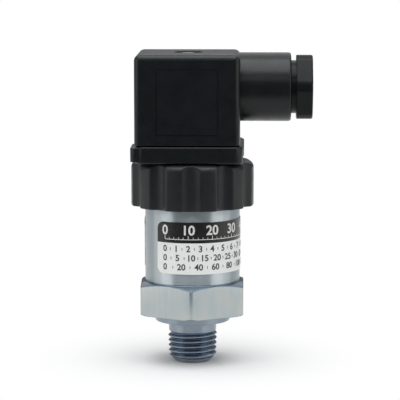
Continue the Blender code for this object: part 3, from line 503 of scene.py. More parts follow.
def feed(material, socket, output):
    """Let a node's output drive a socket of the main shader."""
    material.node_tree.links.new(output, principled(material).inputs[socket])


def new_material(name, color, roughness, metallic=0.0, **sockets):
    """A material with its Principled shader's constants set."""
    material = bpy.data.materials.new(name)
    material.use_nodes = True
    shader = principled(material)
    shader.inputs["Base Color"].default_value = (*color, 1.0)
    shader.inputs["Roughness"].default_value = roughness
    shader.inputs["Metallic"].default_value = metallic
    for socket, value in sockets.items():
        shader.inputs[socket.replace("_", " ")].default_value = value
    return material


def object_noise(material, scale, stretch=(1.0, 1.0, 1.0), detail=3.0, rough=0.5):
    """Noise fixed to the piece, stretched along its axes. Gives the noise's value output."""
    where = add_node(material, "TexCoord").outputs["Object"]
    mapping = add_node(material, "Mapping", {"Vector": where, "Scale": stretch})
    noise = add_node(material, "TexNoise", {"Vector": mapping.outputs["Vector"], "Scale": scale,
                                            "Detail": detail, "Roughness": rough})
    return noise.outputs["Fac"]


def average(material, one, other):
    """Mean of two noise values."""
    half = add_node(material, "Math", {0: one, 1: 0.5}, operation='MULTIPLY')
    mean = add_node(material, "Math", {0: other, 1: 0.5, 2: half.outputs[0]},
                    operation='MULTIPLY_ADD')
    return mean.outputs[0]


def vary_roughness(material, noise, low, high):
    """Let noise, which lies mostly between 0.3 and 0.7, move the roughness."""
    spread = add_node(material, "MapRange", {"Value": noise, "From Min": 0.3, "From Max": 0.7,
                                             "To Min": low, "To Max": high})
    feed(material, "Roughness", spread.outputs["Result"])


def vary_color(material, value, one, other, low=0.35, high=0.65):
    """Let a value between low and high move the colour from one to the other."""
    ramp = add_node(material, "ValToRGB", {"Fac": value})
    for stop, (position, color) in enumerate(((low, one), (high, other))):
        ramp.color_ramp.elements[stop].position = position
        ramp.color_ramp.elements[stop].color = (*color, 1.0)
    feed(material, "Base Color", ramp.outputs["Color"])


def add_bump(material, noise, strength, distance):
    """Raise and lower the surface by the noise."""
    bump = add_node(material, "Bump", {"Height": noise, "Strength": strength,
                                       "Distance": distance})
    feed(material, "Normal", bump.outputs["Normal"])


def turned_steel(name, blue, green, roughness):
    """Zinc-plated steel with fine marks of the lathe around it, blue in places and greener."""
    material = new_material(name, blue, roughness, 1.0, Anisotropic=0.9,
                            Anisotropic_Rotation=0.25)
    tangent = add_node(material, "Tangent", direction_type='RADIAL', axis='Z')
    feed(material, "Tangent", tangent.outputs["Tangent"])
    marks = object_noise(material, 1.0, (45.0, 45.0, 4300.0), detail=4.0, rough=0.7)
    clouds = object_noise(material, 110.0, detail=2.0)
    vary_color(material, average(material, marks, clouds), blue, green)
    vary_roughness(material, marks, roughness - 0.05, roughness + 0.07)
    add_bump(material, marks, 0.5, 0.012 * MM)
    return material


def drawn_steel():
    """Zinc-plated flats of the drawn hexagon, with faint upright marks."""
    material = new_material("drawn_steel", (0.48, 0.51, 0.53), 0.36, 1.0)
    marks = object_noise(material, 1.0, (1500.0, 1500.0, 90.0), rough=0.6)
    clouds = object_noise(material, 130.0, detail=2.0)
    vary_color(material, average(material, marks, clouds), (0.395, 0.455, 0.475),
               (0.505, 0.515, 0.485))
    vary_roughness(material, marks, 0.32, 0.42)
    add_bump(material, marks, 0.35, 0.010 * MM)
    return material


def thread_height(material):
    """How high a point lies over the tapered thread's root: 0 there, 1 at a full crest."""
    where = add_node(material, "TexCoord").outputs["Object"]
    split = add_node(material, "SeparateXYZ", {"Vector": where}).outputs
    across = add_node(material, "CombineXYZ", {"X": split["X"], "Y": split["Y"]})
    radius = add_node(material, "VectorMath", {0: across.outputs["Vector"]}, operation='LENGTH')
    taper = add_node(material, "Math", {0: split["Z"], 1: -THREAD_TAPER,
                                        2: radius.outputs["Value"]}, operation='MULTIPLY_ADD')
    height = add_node(material, "MapRange", {
        "Value": taper.outputs["Value"], "From Min": THREAD_ROOT_RADIUS,
        "From Max": THREAD_ROOT_RADIUS + THREAD_DEPTH})
    return height.outputs["Result"]


def shaded_thread_steel():
    """Plated thread, darker than the turned steel, with painted shade that darkens its grooves to a
    deep blue below its brighter crests.
    """
    material = new_material("shaded_thread_steel", (0.36, 0.42, 0.50), 0.26, 1.0)
    # painted shade: the ramp turns the grooves dark blue and leaves the crests brighter
    vary_color(material, thread_height(material), (0.075, 0.10, 0.145), (0.31, 0.37, 0.43),
               0.15, 0.95)
    marks = object_noise(material, 1.0, (90.0, 90.0, 9000.0))
    vary_roughness(material, marks, 0.2, 0.34)
    add_bump(material, marks, 0.25, 0.004 * MM)
    return material


def machined_metal(name, color, roughness):
    """Plain metal of screws, springs, pistons and contacts."""
    material = new_material(name, color, roughness, 1.0)
    marks = object_noise(material, 900.0, (1, 1, 4))
    vary_roughness(material, marks, roughness - 0.06, roughness + 0.08)
    add_bump(material, marks, 0.15, 0.01 * MM)
    return material


def moulded_plastic(name, color, roughness, grain, specular=0.4):
    """Moulded plastic or rubber with a fine grain and slightly cloudy gloss."""
    material = new_material(name, color, roughness, Specular_IOR_Level=specular)
    lighter = tuple(min(1.0, part * 1.35 + 0.0008) for part in color)
    vary_color(material, object_noise(material, 260.0, detail=4.0), color, lighter)
    vary_roughness(material, object_noise(material, 420.0), roughness - 0.04, roughness + 0.05)
    add_bump(material, object_noise(material, 6500.0, detail=2.0), grain, 0.012 * MM)
    return material


def film(name, color, roughness):
    """Printed label film, with a very faint orange-peel surface."""
    material = new_material(name, color, roughness, Specular_IOR_Level=0.5)
    vary_roughness(material, object_noise(material, 700.0), roughness - 0.03,
                   roughness + 0.04)
    add_bump(material, object_noise(material, 2500.0, detail=1.0), 0.08, 0.01 * MM)
    return material


FINISH = {
    "turned_steel": turned_steel("turned_steel", (0.40, 0.46, 0.495), (0.50, 0.535, 0.525), 0.37),
    # darker copy of the turned steel: painted shade on the hexagon's top chamfer
    "shaded_chamfer_steel": turned_steel("shaded_chamfer_steel", (0.165, 0.215, 0.285), (0.245, 0.28, 0.31), 0.3),
    # darker, bluer copy of the turned steel: painted shade on the boss, relief, hexagon's foot and
    # thread end
    "shaded_blue_steel": turned_steel("shaded_blue_steel", (0.25, 0.31, 0.385), (0.35, 0.39, 0.41), 0.33),
    "drawn_steel": drawn_steel(),
    # thread steel with painted shade in its grooves
    "shaded_thread_steel": shaded_thread_steel(),
    "steel": machined_metal("machined_steel", (0.52, 0.53, 0.54), 0.28),
    "spring": machined_metal("spring_steel", (0.30, 0.31, 0.33), 0.32),
    "screw": machined_metal("screw_steel", (0.34, 0.34, 0.33), 0.46),
    "brass": machined_metal("nickelled_brass", (0.66, 0.55, 0.34), 0.27),
    "contact": machined_metal("tinned_contact", (0.66, 0.64, 0.58), 0.3),
    "plastic": moulded_plastic("black_plastic", (0.0038, 0.0050, 0.0055), 0.30, 0.25, 0.28),
    "ring": moulded_plastic("ring_plastic", (0.0075, 0.0086, 0.0090), 0.38, 0.35, 0.33),
    "nut": moulded_plastic("nut_plastic", (0.0056, 0.0066, 0.0071), 0.28, 0.25, 0.13),
    "insulator": moulded_plastic("insulator_plastic", (0.60, 0.57, 0.50), 0.45, 0.2, 0.5),
    "block": moulded_plastic("block_plastic", (0.055, 0.056, 0.058), 0.45, 0.25),
    "rubber": moulded_plastic("seal_rubber", (0.012, 0.012, 0.012), 0.62, 0.6, 0.3),
    "clear_rubber": moulded_plastic("gasket_rubber", (0.018, 0.018, 0.018), 0.55, 0.4, 0.3),
    "white_film": film("white_film", (0.86, 0.87, 0.86), 0.42),
    "dark_film": film("dark_film", (0.0095, 0.0090, 0.0080), 0.26),
    "white_print": film("white_print", (0.80, 0.80, 0.78), 0.42),
    "dark_print": film("dark_print", (0.038, 0.038, 0.041), 0.45),
}


# ---- steel body

def hex_reach(angle):
    """Distance from the axis to the hexagon's outline, whose corners are rounded."""
    half = body_high.x
    part = abs((angle + HALF_SIDE) % (2 * HALF_SIDE) - HALF_SIDE)
    inner = half - HEX_CORNER
    if part < atan(inner * tan(HALF_SIDE) / half):
        return half / cos(part)
    centre = inner / cos(HALF_SIDE)
    off = HALF_SIDE - part
    return centre * cos(off) + sqrt(HEX_CORNER ** 2 - (centre * sin(off)) ** 2)


def body_angles():
    """Directions of the body's columns: even steps, and closer ones at the hex corners."""
    even = [360.0 * step / BODY_COLUMNS for step in range(BODY_COLUMNS)]
    corners = [30.0 + 60.0 * k + side * off for k in range(6) for off in CORNER_COLUMNS
               for side in (-1, 1)]
    return [radians(a) for a in sorted(even + corners)]


def hexagon_outline(angle):
    """Outline from the top of the thread over the boss and the hexagon, to the barrel."""
    corner = body_high.x / cos(HALF_SIDE)
    top = corner - HEX_TOP_DROP / tan(HEX_TOP_ANGLE)
    foot = corner - HEX_FOOT_RISE / tan(HEX_FOOT_ANGLE)
    reach = hex_reach(angle)
    rise = max(0.0, reach - foot) * tan(HEX_FOOT_ANGLE)
    drop = (reach - top) * tan(HEX_TOP_ANGLE)
    thread_top = THREAD_ROOT_RADIUS + THREAD_TAPER * THREAD_LENGTH
    return [
        (thread_top, THREAD_LENGTH), (RELIEF_RADIUS, THREAD_LENGTH + RELIEF_RISE, FINE_EDGE),
        (RELIEF_RADIUS, BOSS_Z, RELIEF_FILLET), (BOSS_RADIUS, BOSS_Z, BOSS_EDGE),
        (BOSS_RADIUS, HEX_Z, SMALL_EDGE), (min(foot, reach - GAP), HEX_Z, FINE_EDGE),
        (reach, HEX_Z + rise, HEX_FOOT_EDGE), (reach, HEX_TOP_Z - drop, HEX_TOP_EDGE),
        (top, HEX_TOP_Z, PLAIN_EDGE), (BODY_RADIUS, HEX_TOP_Z, PLAIN_EDGE)]


def bore_outline():
    """Outline from the barrel's shoulder over the rim, and down the bores to the port."""
    rim_z = body_high.z
    groove_in, groove_out, groove_depth = RIM_GROOVE
    bush_hole = bush_high.x + GAP
    return [
        (BODY_RADIUS, SHOULDER_Z, SMALL_EDGE), (SPIGOT_RADIUS, SHOULDER_Z, FINE_EDGE),
        (SPIGOT_RADIUS, rim_z, SMALL_EDGE), (groove_out, rim_z), (groove_out, rim_z - groove_depth),
        (groove_in, rim_z - groove_depth), (groove_in, rim_z), (chamber_radius, rim_z, RIM_EDGE),
        (chamber_radius, bush_high.z + GAP), (bush_hole, bush_high.z + GAP),
        (bush_hole, bush_low.z - GAP), (PORT_RADIUS, bush_low.z - GAP),
        (PORT_RADIUS, 0.0, PORT_EDGE), (PORT_END_RADIUS, 0.0)]


def body_outline(angle):
    """Outline of the whole body but its thread, with its edges rounded."""
    return eased(hexagon_outline(angle) + bore_outline(), closed=False)


def thread_radius(height, depth):
    """Radius of the tapered pipe thread, run out at the top and bevelled at the port."""
    fade = min(1.0, (THREAD_LENGTH - height) / (THREAD_PITCH / 2))
    radius = THREAD_ROOT_RADIUS + THREAD_TAPER * height + THREAD_DEPTH * depth * fade
    return min(radius, PORT_END_RADIUS + height)


def body_finish(face):
    """Finish of a face of the body, by where it lies and which way it looks. Two darker copies of
    the turned steel are painted shade: one on the hexagon's top chamfer, a bluer one on the boss,
    relief, hexagon's foot and thread end.
    """
    radius = hypot(face.center.x, face.center.y)
    height = face.center.z
    upright = abs(face.normal.z) < 0.1
    if upright and HEX_Z < height < HEX_TOP_Z:
        return "drawn_steel" if radius > BODY_RADIUS + 0.5 * MM else "turned_steel"
    if height < THREAD_LENGTH and radius > PORT_END_RADIUS:
        # painted shade on the thread's end: the darker, bluer steel copy
        on_end = face.normal.z < -0.5 and height < THREAD_PITCH * 0.8
        return "shaded_blue_steel" if on_end else "shaded_thread_steel"
    if THREAD_LENGTH <= height < HEX_TOP_Z + GAP and radius > RELIEF_RADIUS - GAP:
        # painted shade: a darker steel copy near the top chamfer, a darker bluer one lower down
        return "shaded_chamfer_steel" if height > HEX_TOP_Z - 2 * HEX_TOP_DROP else "shaded_blue_steel"
    return "turned_steel"


def steel_body():
    """Steel body: pipe thread, boss, hexagon, barrel, spigot and bores in one mesh."""
    mesh = bmesh.new()
    angles = body_angles()
    threaded_rows(mesh, angles, THREAD_PITCH, 0.0, THREAD_LENGTH, thread_radius)
    swept_rows(mesh, angles, body_outline)
    body = new_object("steel_body", mesh, THREAD_MERGE)
    dress(body, "housing", "turned_steel", "plated_steel", "switch_body")
    others = ["drawn_steel", "shaded_thread_steel", "shaded_blue_steel", "shaded_chamfer_steel"]
    for name in others:
        body.data.materials.append(FINISH[name])
    slots = ["turned_steel"] + others
    for face in body.data.polygons:
        face.material_index = slots.index(body_finish(face))


# ---- label

def label_columns():
    """Angles across the label, closer together at its rounded ends."""
    corner = LABEL_CORNER / label_high.x
    ends = [corner * (1 - cos(QUARTER * k / 8)) for k in range(8)]
    middle = [corner + (LABEL_SWEEP - 2 * corner) * k / 120 for k in range(121)]
    return ends + middle + [LABEL_SWEEP - end for end in reversed(ends)]


def wrapped_label():
    """Label film with rounded corners around the barrel, with a dark band along its top."""
    outer = label_high.x
    inner = outer - LABEL_FILM
    columns = []
    for across in label_columns():
        to_end = min(across, LABEL_SWEEP - across) * outer
        short = max(0.0, LABEL_CORNER - to_end)
        corner = LABEL_CORNER - sqrt(LABEL_CORNER ** 2 - short ** 2)
        low, high = label_low.z + corner, label_high.z - corner
        angle = LABEL_START - QUARTER + across
        columns.append([polar(r, angle, z) for r, z in (
            (inner, low), (outer, low), (outer, LABEL_BAND_Z), (outer, high), (inner, high),
            (inner, LABEL_BAND_Z))])
    label = lofted("label_film", columns)
    dress(label, "housing", "white_film", "label_film", "label")
    label.data.materials.append(FINISH["dark_film"])
    for face in label.data.polygons:
        if face.center.z > LABEL_BAND_Z:
            face.material_index = 1


def wrap(item):
    """Roll flat print, drawn as arc length and height, around the label."""
    radius = label_high.x
    for vertex in item.data.vertices:
        along, height, rise = vertex.co
        vertex.co = polar(radius + rise, LABEL_START - QUARTER + along / radius, height)


def number(text, size, along, height):
    """Flat digits, centred at one place along the label."""
    curve = bpy.data.curves.new(f"number {text}", 'FONT')
    curve.body = text
    curve.size = size
    curve.align_x = 'CENTER'
    curve.extrude = PRINT_RISE / 2
    curve.offset = size * PRINT_BOLD
    item = linked(f"number {text}", curve)
    item.location = (along, height, PRINT_RISE / 2)
    view = bpy.context.evaluated_depsgraph_get()
    data = bpy.data.meshes.new_from_object(item.evaluated_get(view))
    data.transform(Matrix.Translation(item.location))
    bpy.data.objects.remove(item)
    return data


def flat_bar(along, width, low, high):
    """A tick or a stretch of line, cut into short lengths that can follow the label."""
    pieces = max(1, round(width / PRINT_PIECE))
    mesh = bmesh.new()
    for k in range(pieces):
        left = along + width * k / pieces
        right = along + width * (k + 1) / pieces
        corners = [(left, low), (right, low), (right, high), (left, high)]
        bottom = [mesh.verts.new((x, y, 0.0)) for x, y in corners]
        top = [mesh.verts.new((x, y, PRINT_RISE)) for x, y in corners]
        mesh.faces.new(list(reversed(bottom)))
        mesh.faces.new(top)
        for i in range(4):
            to_next = (i == 3 and k > 0) or (i == 1 and k < pieces - 1)
            if not to_next:
                mesh.faces.new((bottom[i], bottom[(i + 1) % 4], top[(i + 1) % 4], top[i]))
    bmesh.ops.remove_doubles(mesh, verts=mesh.verts, dist=MERGE)
    data = bpy.data.meshes.new("bar")
    mesh.to_mesh(data)
    mesh.free()
    return data


def printed(name, parts, finish):
    """Join flat print into one piece, roll it around the label and let it ride there."""
    mesh = bmesh.new()
    for data in parts:
        mesh.from_mesh(data)
        bpy.data.meshes.remove(data)
    item = new_object(name, mesh)
    wrap(item)
    dress(item, "housing", finish, "label_film")


def white_scale(span):
    """White numbers over ticks and a base line, on the dark band."""
    parts = []
    for k in range(SCALE_PARTS + 1):
        along = PRINT_MARGIN + span * k / SCALE_PARTS
        parts.append(number(str(k * 10), SCALE_SIZE, along, SCALE_Z + SCALE_RISE))
        parts.append(flat_bar(along - PRINT_LINE / 2, PRINT_LINE, SCALE_Z, SCALE_Z + SCALE_TICK))
    ticks = SCALE_PARTS * 5
    for k in range(ticks + 1):
        along = PRINT_MARGIN + span * k / ticks
        parts.append(flat_bar(along - PRINT_LINE / 3, PRINT_LINE * 2 / 3, SCALE_Z,
                              SCALE_Z + SCALE_SMALL_TICK))
    parts.append(flat_bar(PRINT_MARGIN, span, SCALE_Z - PRINT_LINE, SCALE_Z))
    return parts


def dark_scale(span):
    """Rows of dark numbers with a bar between each two, on the white field."""
    parts = []
    for row, (step, count) in enumerate(ROW_STEPS):
        foot = label_low.z + (ROW_TOP - ROW_PITCH * row)
        for k in range(count + 1):
            along = PRINT_MARGIN + span * k / count
            parts.append(number(str(k * step), ROW_SIZE, along, foot))
            if k < count:
                along += span / count / 2
                parts.append(flat_bar(along - PRINT_LINE / 2, PRINT_LINE, foot + ROW_BAR[0],
                                      foot + ROW_BAR[1]))
    return parts


def scale_print():
    """Plain scales: white numbers and ticks on the dark band, dark ones on the white field."""
    span = LABEL_SWEEP * label_high.x - 2 * PRINT_MARGIN
    printed("label_scale_white", white_scale(span), "white_print")
    printed("label_scale_dark", dark_scale(span), "dark_print")


# ---- fluted ring

def soft_least(one, other, softness):
    """The smaller of two lengths, with a soft change from one to the other."""
    return (one + other - hypot(one - other, softness)) / 2


def ring_outline(angle):
    """Closed outline of the fluted ring at one angle, as (radius, height)."""
    pitch = 2 * pi / RING_FLUTES
    off = (angle + QUARTER + pitch / 2) % pitch - pitch / 2
    part = off / RING_FLUTE_HALF_ANGLE
    top = ring_high.z
    hollow = ring_radius - RING_FLUTE_DEPTH * (1 - part * part)
    reach = soft_least(ring_radius, hollow, RING_SOFT_EDGE)
    bore = SPIGOT_RADIUS + GAP
    lip = SPIGOT_RADIUS - RING_LIP
    points = [(bore, RING_LIP_Z), (bore, ring_low.z + PLAIN_EDGE),
              (bore + PLAIN_EDGE, ring_low.z)]
    points += bend((bore, ring_low.z), (reach, ring_low.z), (reach, top), RING_FOOT_EDGE, 4)
    for height, inset in top_levels(top, RING_EDGE, 10):
        points.append((soft_least(ring_radius - inset, hollow, RING_SOFT_EDGE), height))
    points += [(lip + SMALL_EDGE, top), (lip, top - SMALL_EDGE), (lip, RING_LIP_Z)]
    return points + points[:1]


def fluted_ring():
    """Moulded ring that turns on the spigot."""
    mesh = bmesh.new()
    swept_rows(mesh, around(RING_FLUTES * RING_COLUMNS, -QUARTER), ring_outline)
    dress(new_object("fluted_ring", mesh), "ring", "ring", "ring_plastic", "grip_ring")


# ---- flange

def side_lug(name, turn):
    """Rib along half of one side of the flange, with a sloping inner end."""
    inner = FLANGE_HALF - FLANGE_CORNER
    plan = eased([(inner, 0.0), (lug_half_span - LUG_LEAD, 0.0, SMALL_EDGE),
                  (lug_half_span, LUG_LEAD * 3, LUG_CORNER),
                  (lug_half_span, LUG_LENGTH - LUG_LEAD, LUG_END_CORNER),
                  (lug_half_span - LUG_LEAD, LUG_LENGTH, LUG_CORNER), (inner, LUG_LENGTH)])
    loops = []
    for height, inset in edge_levels(flange_z + FLANGE_EDGE, flange_top_z - LUG_DROP,
                                     FINE_EDGE, LUG_TOP_EDGE, 3):
        factor = 1 - inset / lug_half_span
        loops.append([(x * factor, y + (0.5 * LUG_LENGTH - y) * inset / LUG_LENGTH * 2, height)
                      for x, y in plan])
    return on_plug(lofted(name, loops), turn)


def pin_island():
    """Raised block that the pins stand in. It starts half way up the flange."""
    levels = [((flange_z + flange_top_z) / 2, 0.0)] + top_levels(island_z, PLAIN_EDGE, 3)
    return rounded_block("island", ISLAND_HALF, ISLAND_CORNER, PLUG_OFFSET, levels)


def flange_pegs():
    """Four pegs under the flange, which enter the cup."""
    pegs = []
    for k, angle in enumerate(around(4, pi / 4)):
        pegs.append(rod(f"peg {k}", PEG_RADIUS, flange_z - PEG_LENGTH, flange_z + PEG_LENGTH,
                        polar(PEG_AT, angle, 0.0), 24))
    return pegs


def cut_pin_slot(carrier, side, turn):
    """Slot for one pin, and for all but the earth pin a channel for its contact strip."""
    half_x = PIN_THICKNESS / 2 + GAP
    half_y = PIN_WIDTH / 2 + GAP
    slot = box(f"{side} slot", (PIN_RADIUS - half_x, -half_y, flange_z - GAP),
               (PIN_RADIUS + half_x, half_y, island_z + GAP))
    combine(carrier, 'DIFFERENCE', on_plug(slot, turn))
    if side != "earth":
        channel = box(f"{side} channel", (CONTACT_AT - GAP, -STRIP_HALF - GAP, flange_z - GAP),
                      (PIN_RADIUS, STRIP_HALF + GAP, flange_z + STRIP_THICKNESS + 2 * GAP))
        combine(carrier, 'DIFFERENCE', on_plug(channel, turn))


def pin_flange():
    """Square flange with side lugs, the pin island and the pegs that enter the cup."""
    levels = edge_levels(flange_z, flange_top_z, FLANGE_EDGE, FLANGE_EDGE, 4)
    carrier = rounded_block("pin_flange", FLANGE_HALF, FLANGE_CORNER, FLANGE_OFFSET, levels, 10)
    combine(carrier, 'UNION', pin_island(), side_lug("left lug", pi),
            side_lug("right lug", 0.0), *flange_pegs())
    combine(carrier, 'DIFFERENCE', rod("insert hole", INSERT_RADIUS + GAP, insert_low.z - GAP,
                                       island_z + GAP, (PLUG_OFFSET, 0.0)))
    for side, turn in PIN_TURNS.items():
        cut_pin_slot(carrier, side, turn)
    dress(carrier, "head", "plastic", "black_plastic", "terminal_carrier")


# ---- hood

def panel_block(name, levels):
    """Square block in the front wall, from (depth, inset) levels."""
    middle = hood_high.z - PANEL_DROP - PANEL_HEIGHT / 2
    loops = []
    for depth, inset in levels:
        half_x = PANEL_WIDTH / 2 - inset
        half_z = PANEL_HEIGHT / 2 - inset
        flat = eased([(-half_x, -half_z, PANEL_CORNER), (half_x, -half_z, PANEL_CORNER),
                      (half_x, half_z, PANEL_CORNER), (-half_x, half_z, PANEL_CORNER)])
        loops.append([(x + PLUG_OFFSET, -hood_half + depth, z + middle) for x, z in flat])
    return lofted(name, loops)


def cable_barrel():
    """Barrel for the cable, bored for the gland nut's shank."""
    shank_bore = BARREL_RADIUS - BARREL_WALL
    in_wall = hood_half - HOOD_WALL / 2
    return along_x(turned("cable barrel", [
        (0.0, in_wall), (BARREL_RADIUS, in_wall),
        (BARREL_RADIUS, barrel_end, BARREL_EDGE * BARREL_EASE),
        (shank_bore, barrel_end, PLAIN_EDGE), (shank_bore, hood_half), (0.0, hood_half)],
        128, 6))


def hood_cavity():
    """Cutter for the hood's inside, wider below the shoulder that the gasket lies under."""
    gasket_half = hood_half - GASKET_SKIRT
    shoulder = hood_low.z + GASKET_HEIGHT + GAP
    levels = ((gasket_half, hood_low.z - GAP), (gasket_half, shoulder), (cavity_half, shoulder),
              (cavity_half, hood_high.z - HOOD_ROOF))
    return lofted("cavity", [rounded_square(half, CAVITY_CORNER, height, PLUG_OFFSET)
                             for half, height in levels])


def screw_recess(tube_end):
    """Cutter for the recess in the roof and for the screw's hole in its floor."""
    top = hood_high.z
    return on_plug(turned("recess", [
        (0.0, tube_end - GAP), (rod_hole, tube_end - GAP), (rod_hole, recess_z),
        (RECESS_RADIUS, recess_z, RECESS_FLOOR_EDGE), (RECESS_RADIUS, top - RECESS_EDGE),
        (RECESS_RADIUS + RECESS_EDGE, top), (RECESS_RADIUS + RECESS_EDGE * 2, top + RECESS_EDGE),
        (0.0, top + RECESS_EDGE)], 72))


def plug_hood():
    """Hood with rounded edges, cable barrel, screw recess and cavity."""
    levels = edge_levels(hood_low.z, hood_high.z, HOOD_FOOT_EDGE, HOOD_EDGE, 7)
    shell = rounded_block("plug_hood", hood_half, HOOD_CORNER, PLUG_OFFSET, levels, 10)
    tube_end = recess_z - RECESS_FLOOR
    screw_tube = rod("screw tube", RECESS_RADIUS + RECESS_WALL, tube_end,
                     hood_high.z - HOOD_ROOF / 2, (PLUG_OFFSET, 0.0))
    throat = along_x(rod("throat", BARREL_THROAT_RADIUS, cavity_half - GAP, hood_half + GAP))
    combine(shell, 'DIFFERENCE', hood_cavity())
    combine(shell, 'UNION', screw_tube, cable_barrel())
    combine(shell, 'DIFFERENCE', screw_recess(tube_end), throat,
            panel_block("panel recess", [(-GAP, 0.0), (PANEL_DEPTH, 0.0)]))
    combine(shell, 'UNION', panel_block("panel", [
        (PANEL_SINK, PANEL_GROOVE + PANEL_EDGE), (PANEL_SINK + PANEL_EDGE, PANEL_GROOVE),
        (PANEL_DEPTH * 2, PANEL_GROOVE)]))
    dress(shell, "plug", "plastic", "black_plastic", "hood")


def head_height(radius):
    """Height of the screw's head: a flat dome that turns down towards its rim."""
    flat = SCREW_DOME_RADIUS - sqrt(SCREW_DOME_RADIUS ** 2 - radius ** 2)
    past = max(0.0, radius - SCREW_CROWN_RADIUS) / (SCREW_HEAD_RADIUS - SCREW_CROWN_RADIUS)
    fall = SCREW_CROWN_FALL * (1 - sqrt(1 - SCREW_CROWN_SHARE * past ** 2))
    return screw_high.z - flat - fall


def plug_screw():
    """Retaining screw with a slotted, turned head and a threaded end."""
    seat = screw_high.z - SCREW_HEAD_HEIGHT
    core = SCREW_RADIUS - SCREW_THREAD_DEPTH
    thread_top = screw_low.z + SCREW_THREAD_LENGTH

    def radius_at(height, depth):
        """Radius of the thread, run out below the shank and bevelled at the point."""
        fade = min(1.0, (thread_top - height) / SCREW_PITCH)
        point = core - SCREW_POINT_EDGE + (height - screw_low.z)
        return min(core + SCREW_THREAD_DEPTH * depth * fade, point)

    mesh = bmesh.new()
    angles = around(36)
    threaded_rows(mesh, angles, SCREW_PITCH, screw_low.z, thread_top, radius_at)
    dome = [(radius, head_height(radius)) for radius in
            (SCREW_HEAD_RADIUS * (SCREW_DOME_STEPS - k) / SCREW_DOME_STEPS
             for k in range(SCREW_DOME_STEPS))]
    head = eased([
        (core, thread_top), (SCREW_RADIUS, thread_top + SMALL_EDGE),
        (SCREW_RADIUS, seat, SCREW_HEAD_EDGE), (SCREW_HEAD_RADIUS, seat, FINE_EDGE),
        (*dome[0], SCREW_HEAD_EDGE)] + dome[1:], closed=False, steps=4)
    swept_rows(mesh, angles, lambda angle: head)
    screw = capped("plug_screw", mesh)
    reach = SCREW_HEAD_RADIUS + GAP
    slot = box("slot", (-reach, -SCREW_SLOT_WIDTH / 2, screw_high.z - SCREW_SLOT_DEPTH),
               (reach, SCREW_SLOT_WIDTH / 2, screw_high.z + GAP))
    combine(screw, 'DIFFERENCE', slot)
    dress(on_plug(screw), "plug_screw", "screw", "screw_steel", "retaining_screw")


# ---- cable gland

def nut_plan(inset):
    """Hexagon whose corners are cut flat, all twelve edges softened, as (x, y) points."""
    half = NUT_FLATS / 2 - inset
    corner = half / cos(HALF_SIDE)
    share = NUT_CORNER_CUT / 2 / sin(2 * HALF_SIDE) / corner
    points = []
    for k in range(6):
        here, before, after = [
            Vector(polar(corner, a, 0.0)) for a in (
                (k + step) * pi / 3 - QUARTER - NUT_CLOCKING for step in (0, -1, 1))]
        for other in (before, after):
            point = here + (other - here) * share
            points.append((point.x, point.y, NUT_SOFT_CORNER))
    return eased(points, steps=4)


def nut_shank(start, end):
    """Threaded shank of the gland nut, which ends inside its head."""
    thread_end = barrel_end - SHANK_PITCH / 2

    def radius_at(height, depth):
        """Radius of the thread, run out below the head and bevelled at the start."""
        fade = min(1.0, (thread_end - height) / (SHANK_PITCH / 2))
        radius = SHANK_RADIUS - SHANK_THREAD_DEPTH * (1 - depth) * fade
        return min(radius, SHANK_RADIUS - SHANK_THREAD_DEPTH + (height - start))

    mesh = bmesh.new()
    angles = around(72)
    threaded_rows(mesh, angles, SHANK_PITCH, start, thread_end, radius_at)
    swept_rows(mesh, angles, lambda angle: [(SHANK_RADIUS, thread_end), (SHANK_RADIUS, end)])
    return capped("shank", mesh)


def pressure_nut():
    """Gland nut: bevelled hexagon with a threaded shank."""
    end = nut_high.x - PLUG_OFFSET
    start = end - NUT_LENGTH
    shank_start = nut_low.x - PLUG_OFFSET
    head = lofted("pressure_nut", [
        [(x, y, height) for x, y in nut_plan(inset)]
        for height, inset in edge_levels(start, end, NUT_INNER_EDGE, NUT_EDGE, 5)])
    bore = turned("nut bore", [
        (0.0, shank_start - GAP), (NUT_BORE_RADIUS, shank_start - GAP),
        (NUT_BORE_RADIUS, end - NUT_BORE_BEVEL, PLAIN_EDGE),
        (NUT_BORE_RADIUS + NUT_BORE_BEVEL, end),
        (NUT_BORE_RADIUS + NUT_BORE_BEVEL + GAP, end + GAP), (0.0, end + GAP)], 72)
    combine(head, 'UNION', nut_shank(shank_start, start + NUT_LENGTH / 2))
    combine(head, 'DIFFERENCE', bore)
    dress(along_x(head), "nut", "nut", "black_plastic", "gland_nut")


# ---- main spring

def spring_length(name, start, end):
    """Part of the coiled spring, between two shares of its whole height."""
    coil = reach_of("main_spring") - SPRING_WIRE_RADIUS
    inset = SPRING_WIRE_RADIUS * cos(HALF_SIDE)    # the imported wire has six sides
    low, high = spring_low.z + inset, spring_high.z - inset
    count = round(SPRING_TURNS * SPRING_STEPS * (end - start))
    loops = []
    for step in range(count + 1):
        share = start + (end - start) * step / count
        angle = 2 * pi * SPRING_TURNS * share
        height = low + (high - low) * share
        loops.append([polar(coil + SPRING_WIRE_RADIUS * cos(around_wire), angle,
                            height + SPRING_WIRE_RADIUS * sin(around_wire))
                      for around_wire in around(SPRING_WIRE_STEPS)])
    return lofted(name, loops)


def coil_spring():
    """Main spring in two lengths, its lower and its upper half."""
    for name, body, start, end, tip in (
            ("spring_lower", "piston_unit", 0.0, 0.5, (0.0, 0.0, spring_low.z)),
            ("spring_upper", "adjuster_washer", 0.5, 1.0, (0.0, 0.0, spring_high.z))):
        length = spring_length(name, start, end)
        dress(length, None, "spring", "spring_steel", "main_spring")
        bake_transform(length)


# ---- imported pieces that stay

def soft_edges(item, width):
    """Round the sharp edges of a finished shape."""
    modifier = item.modifiers.new("soft edges", 'BEVEL')
    modifier.width = width
    modifier.segments = 2
    modifier.limit_method = 'ANGLE'
    modifier.angle_limit = radians(35.0)
    modifier.use_clamp_overlap = True


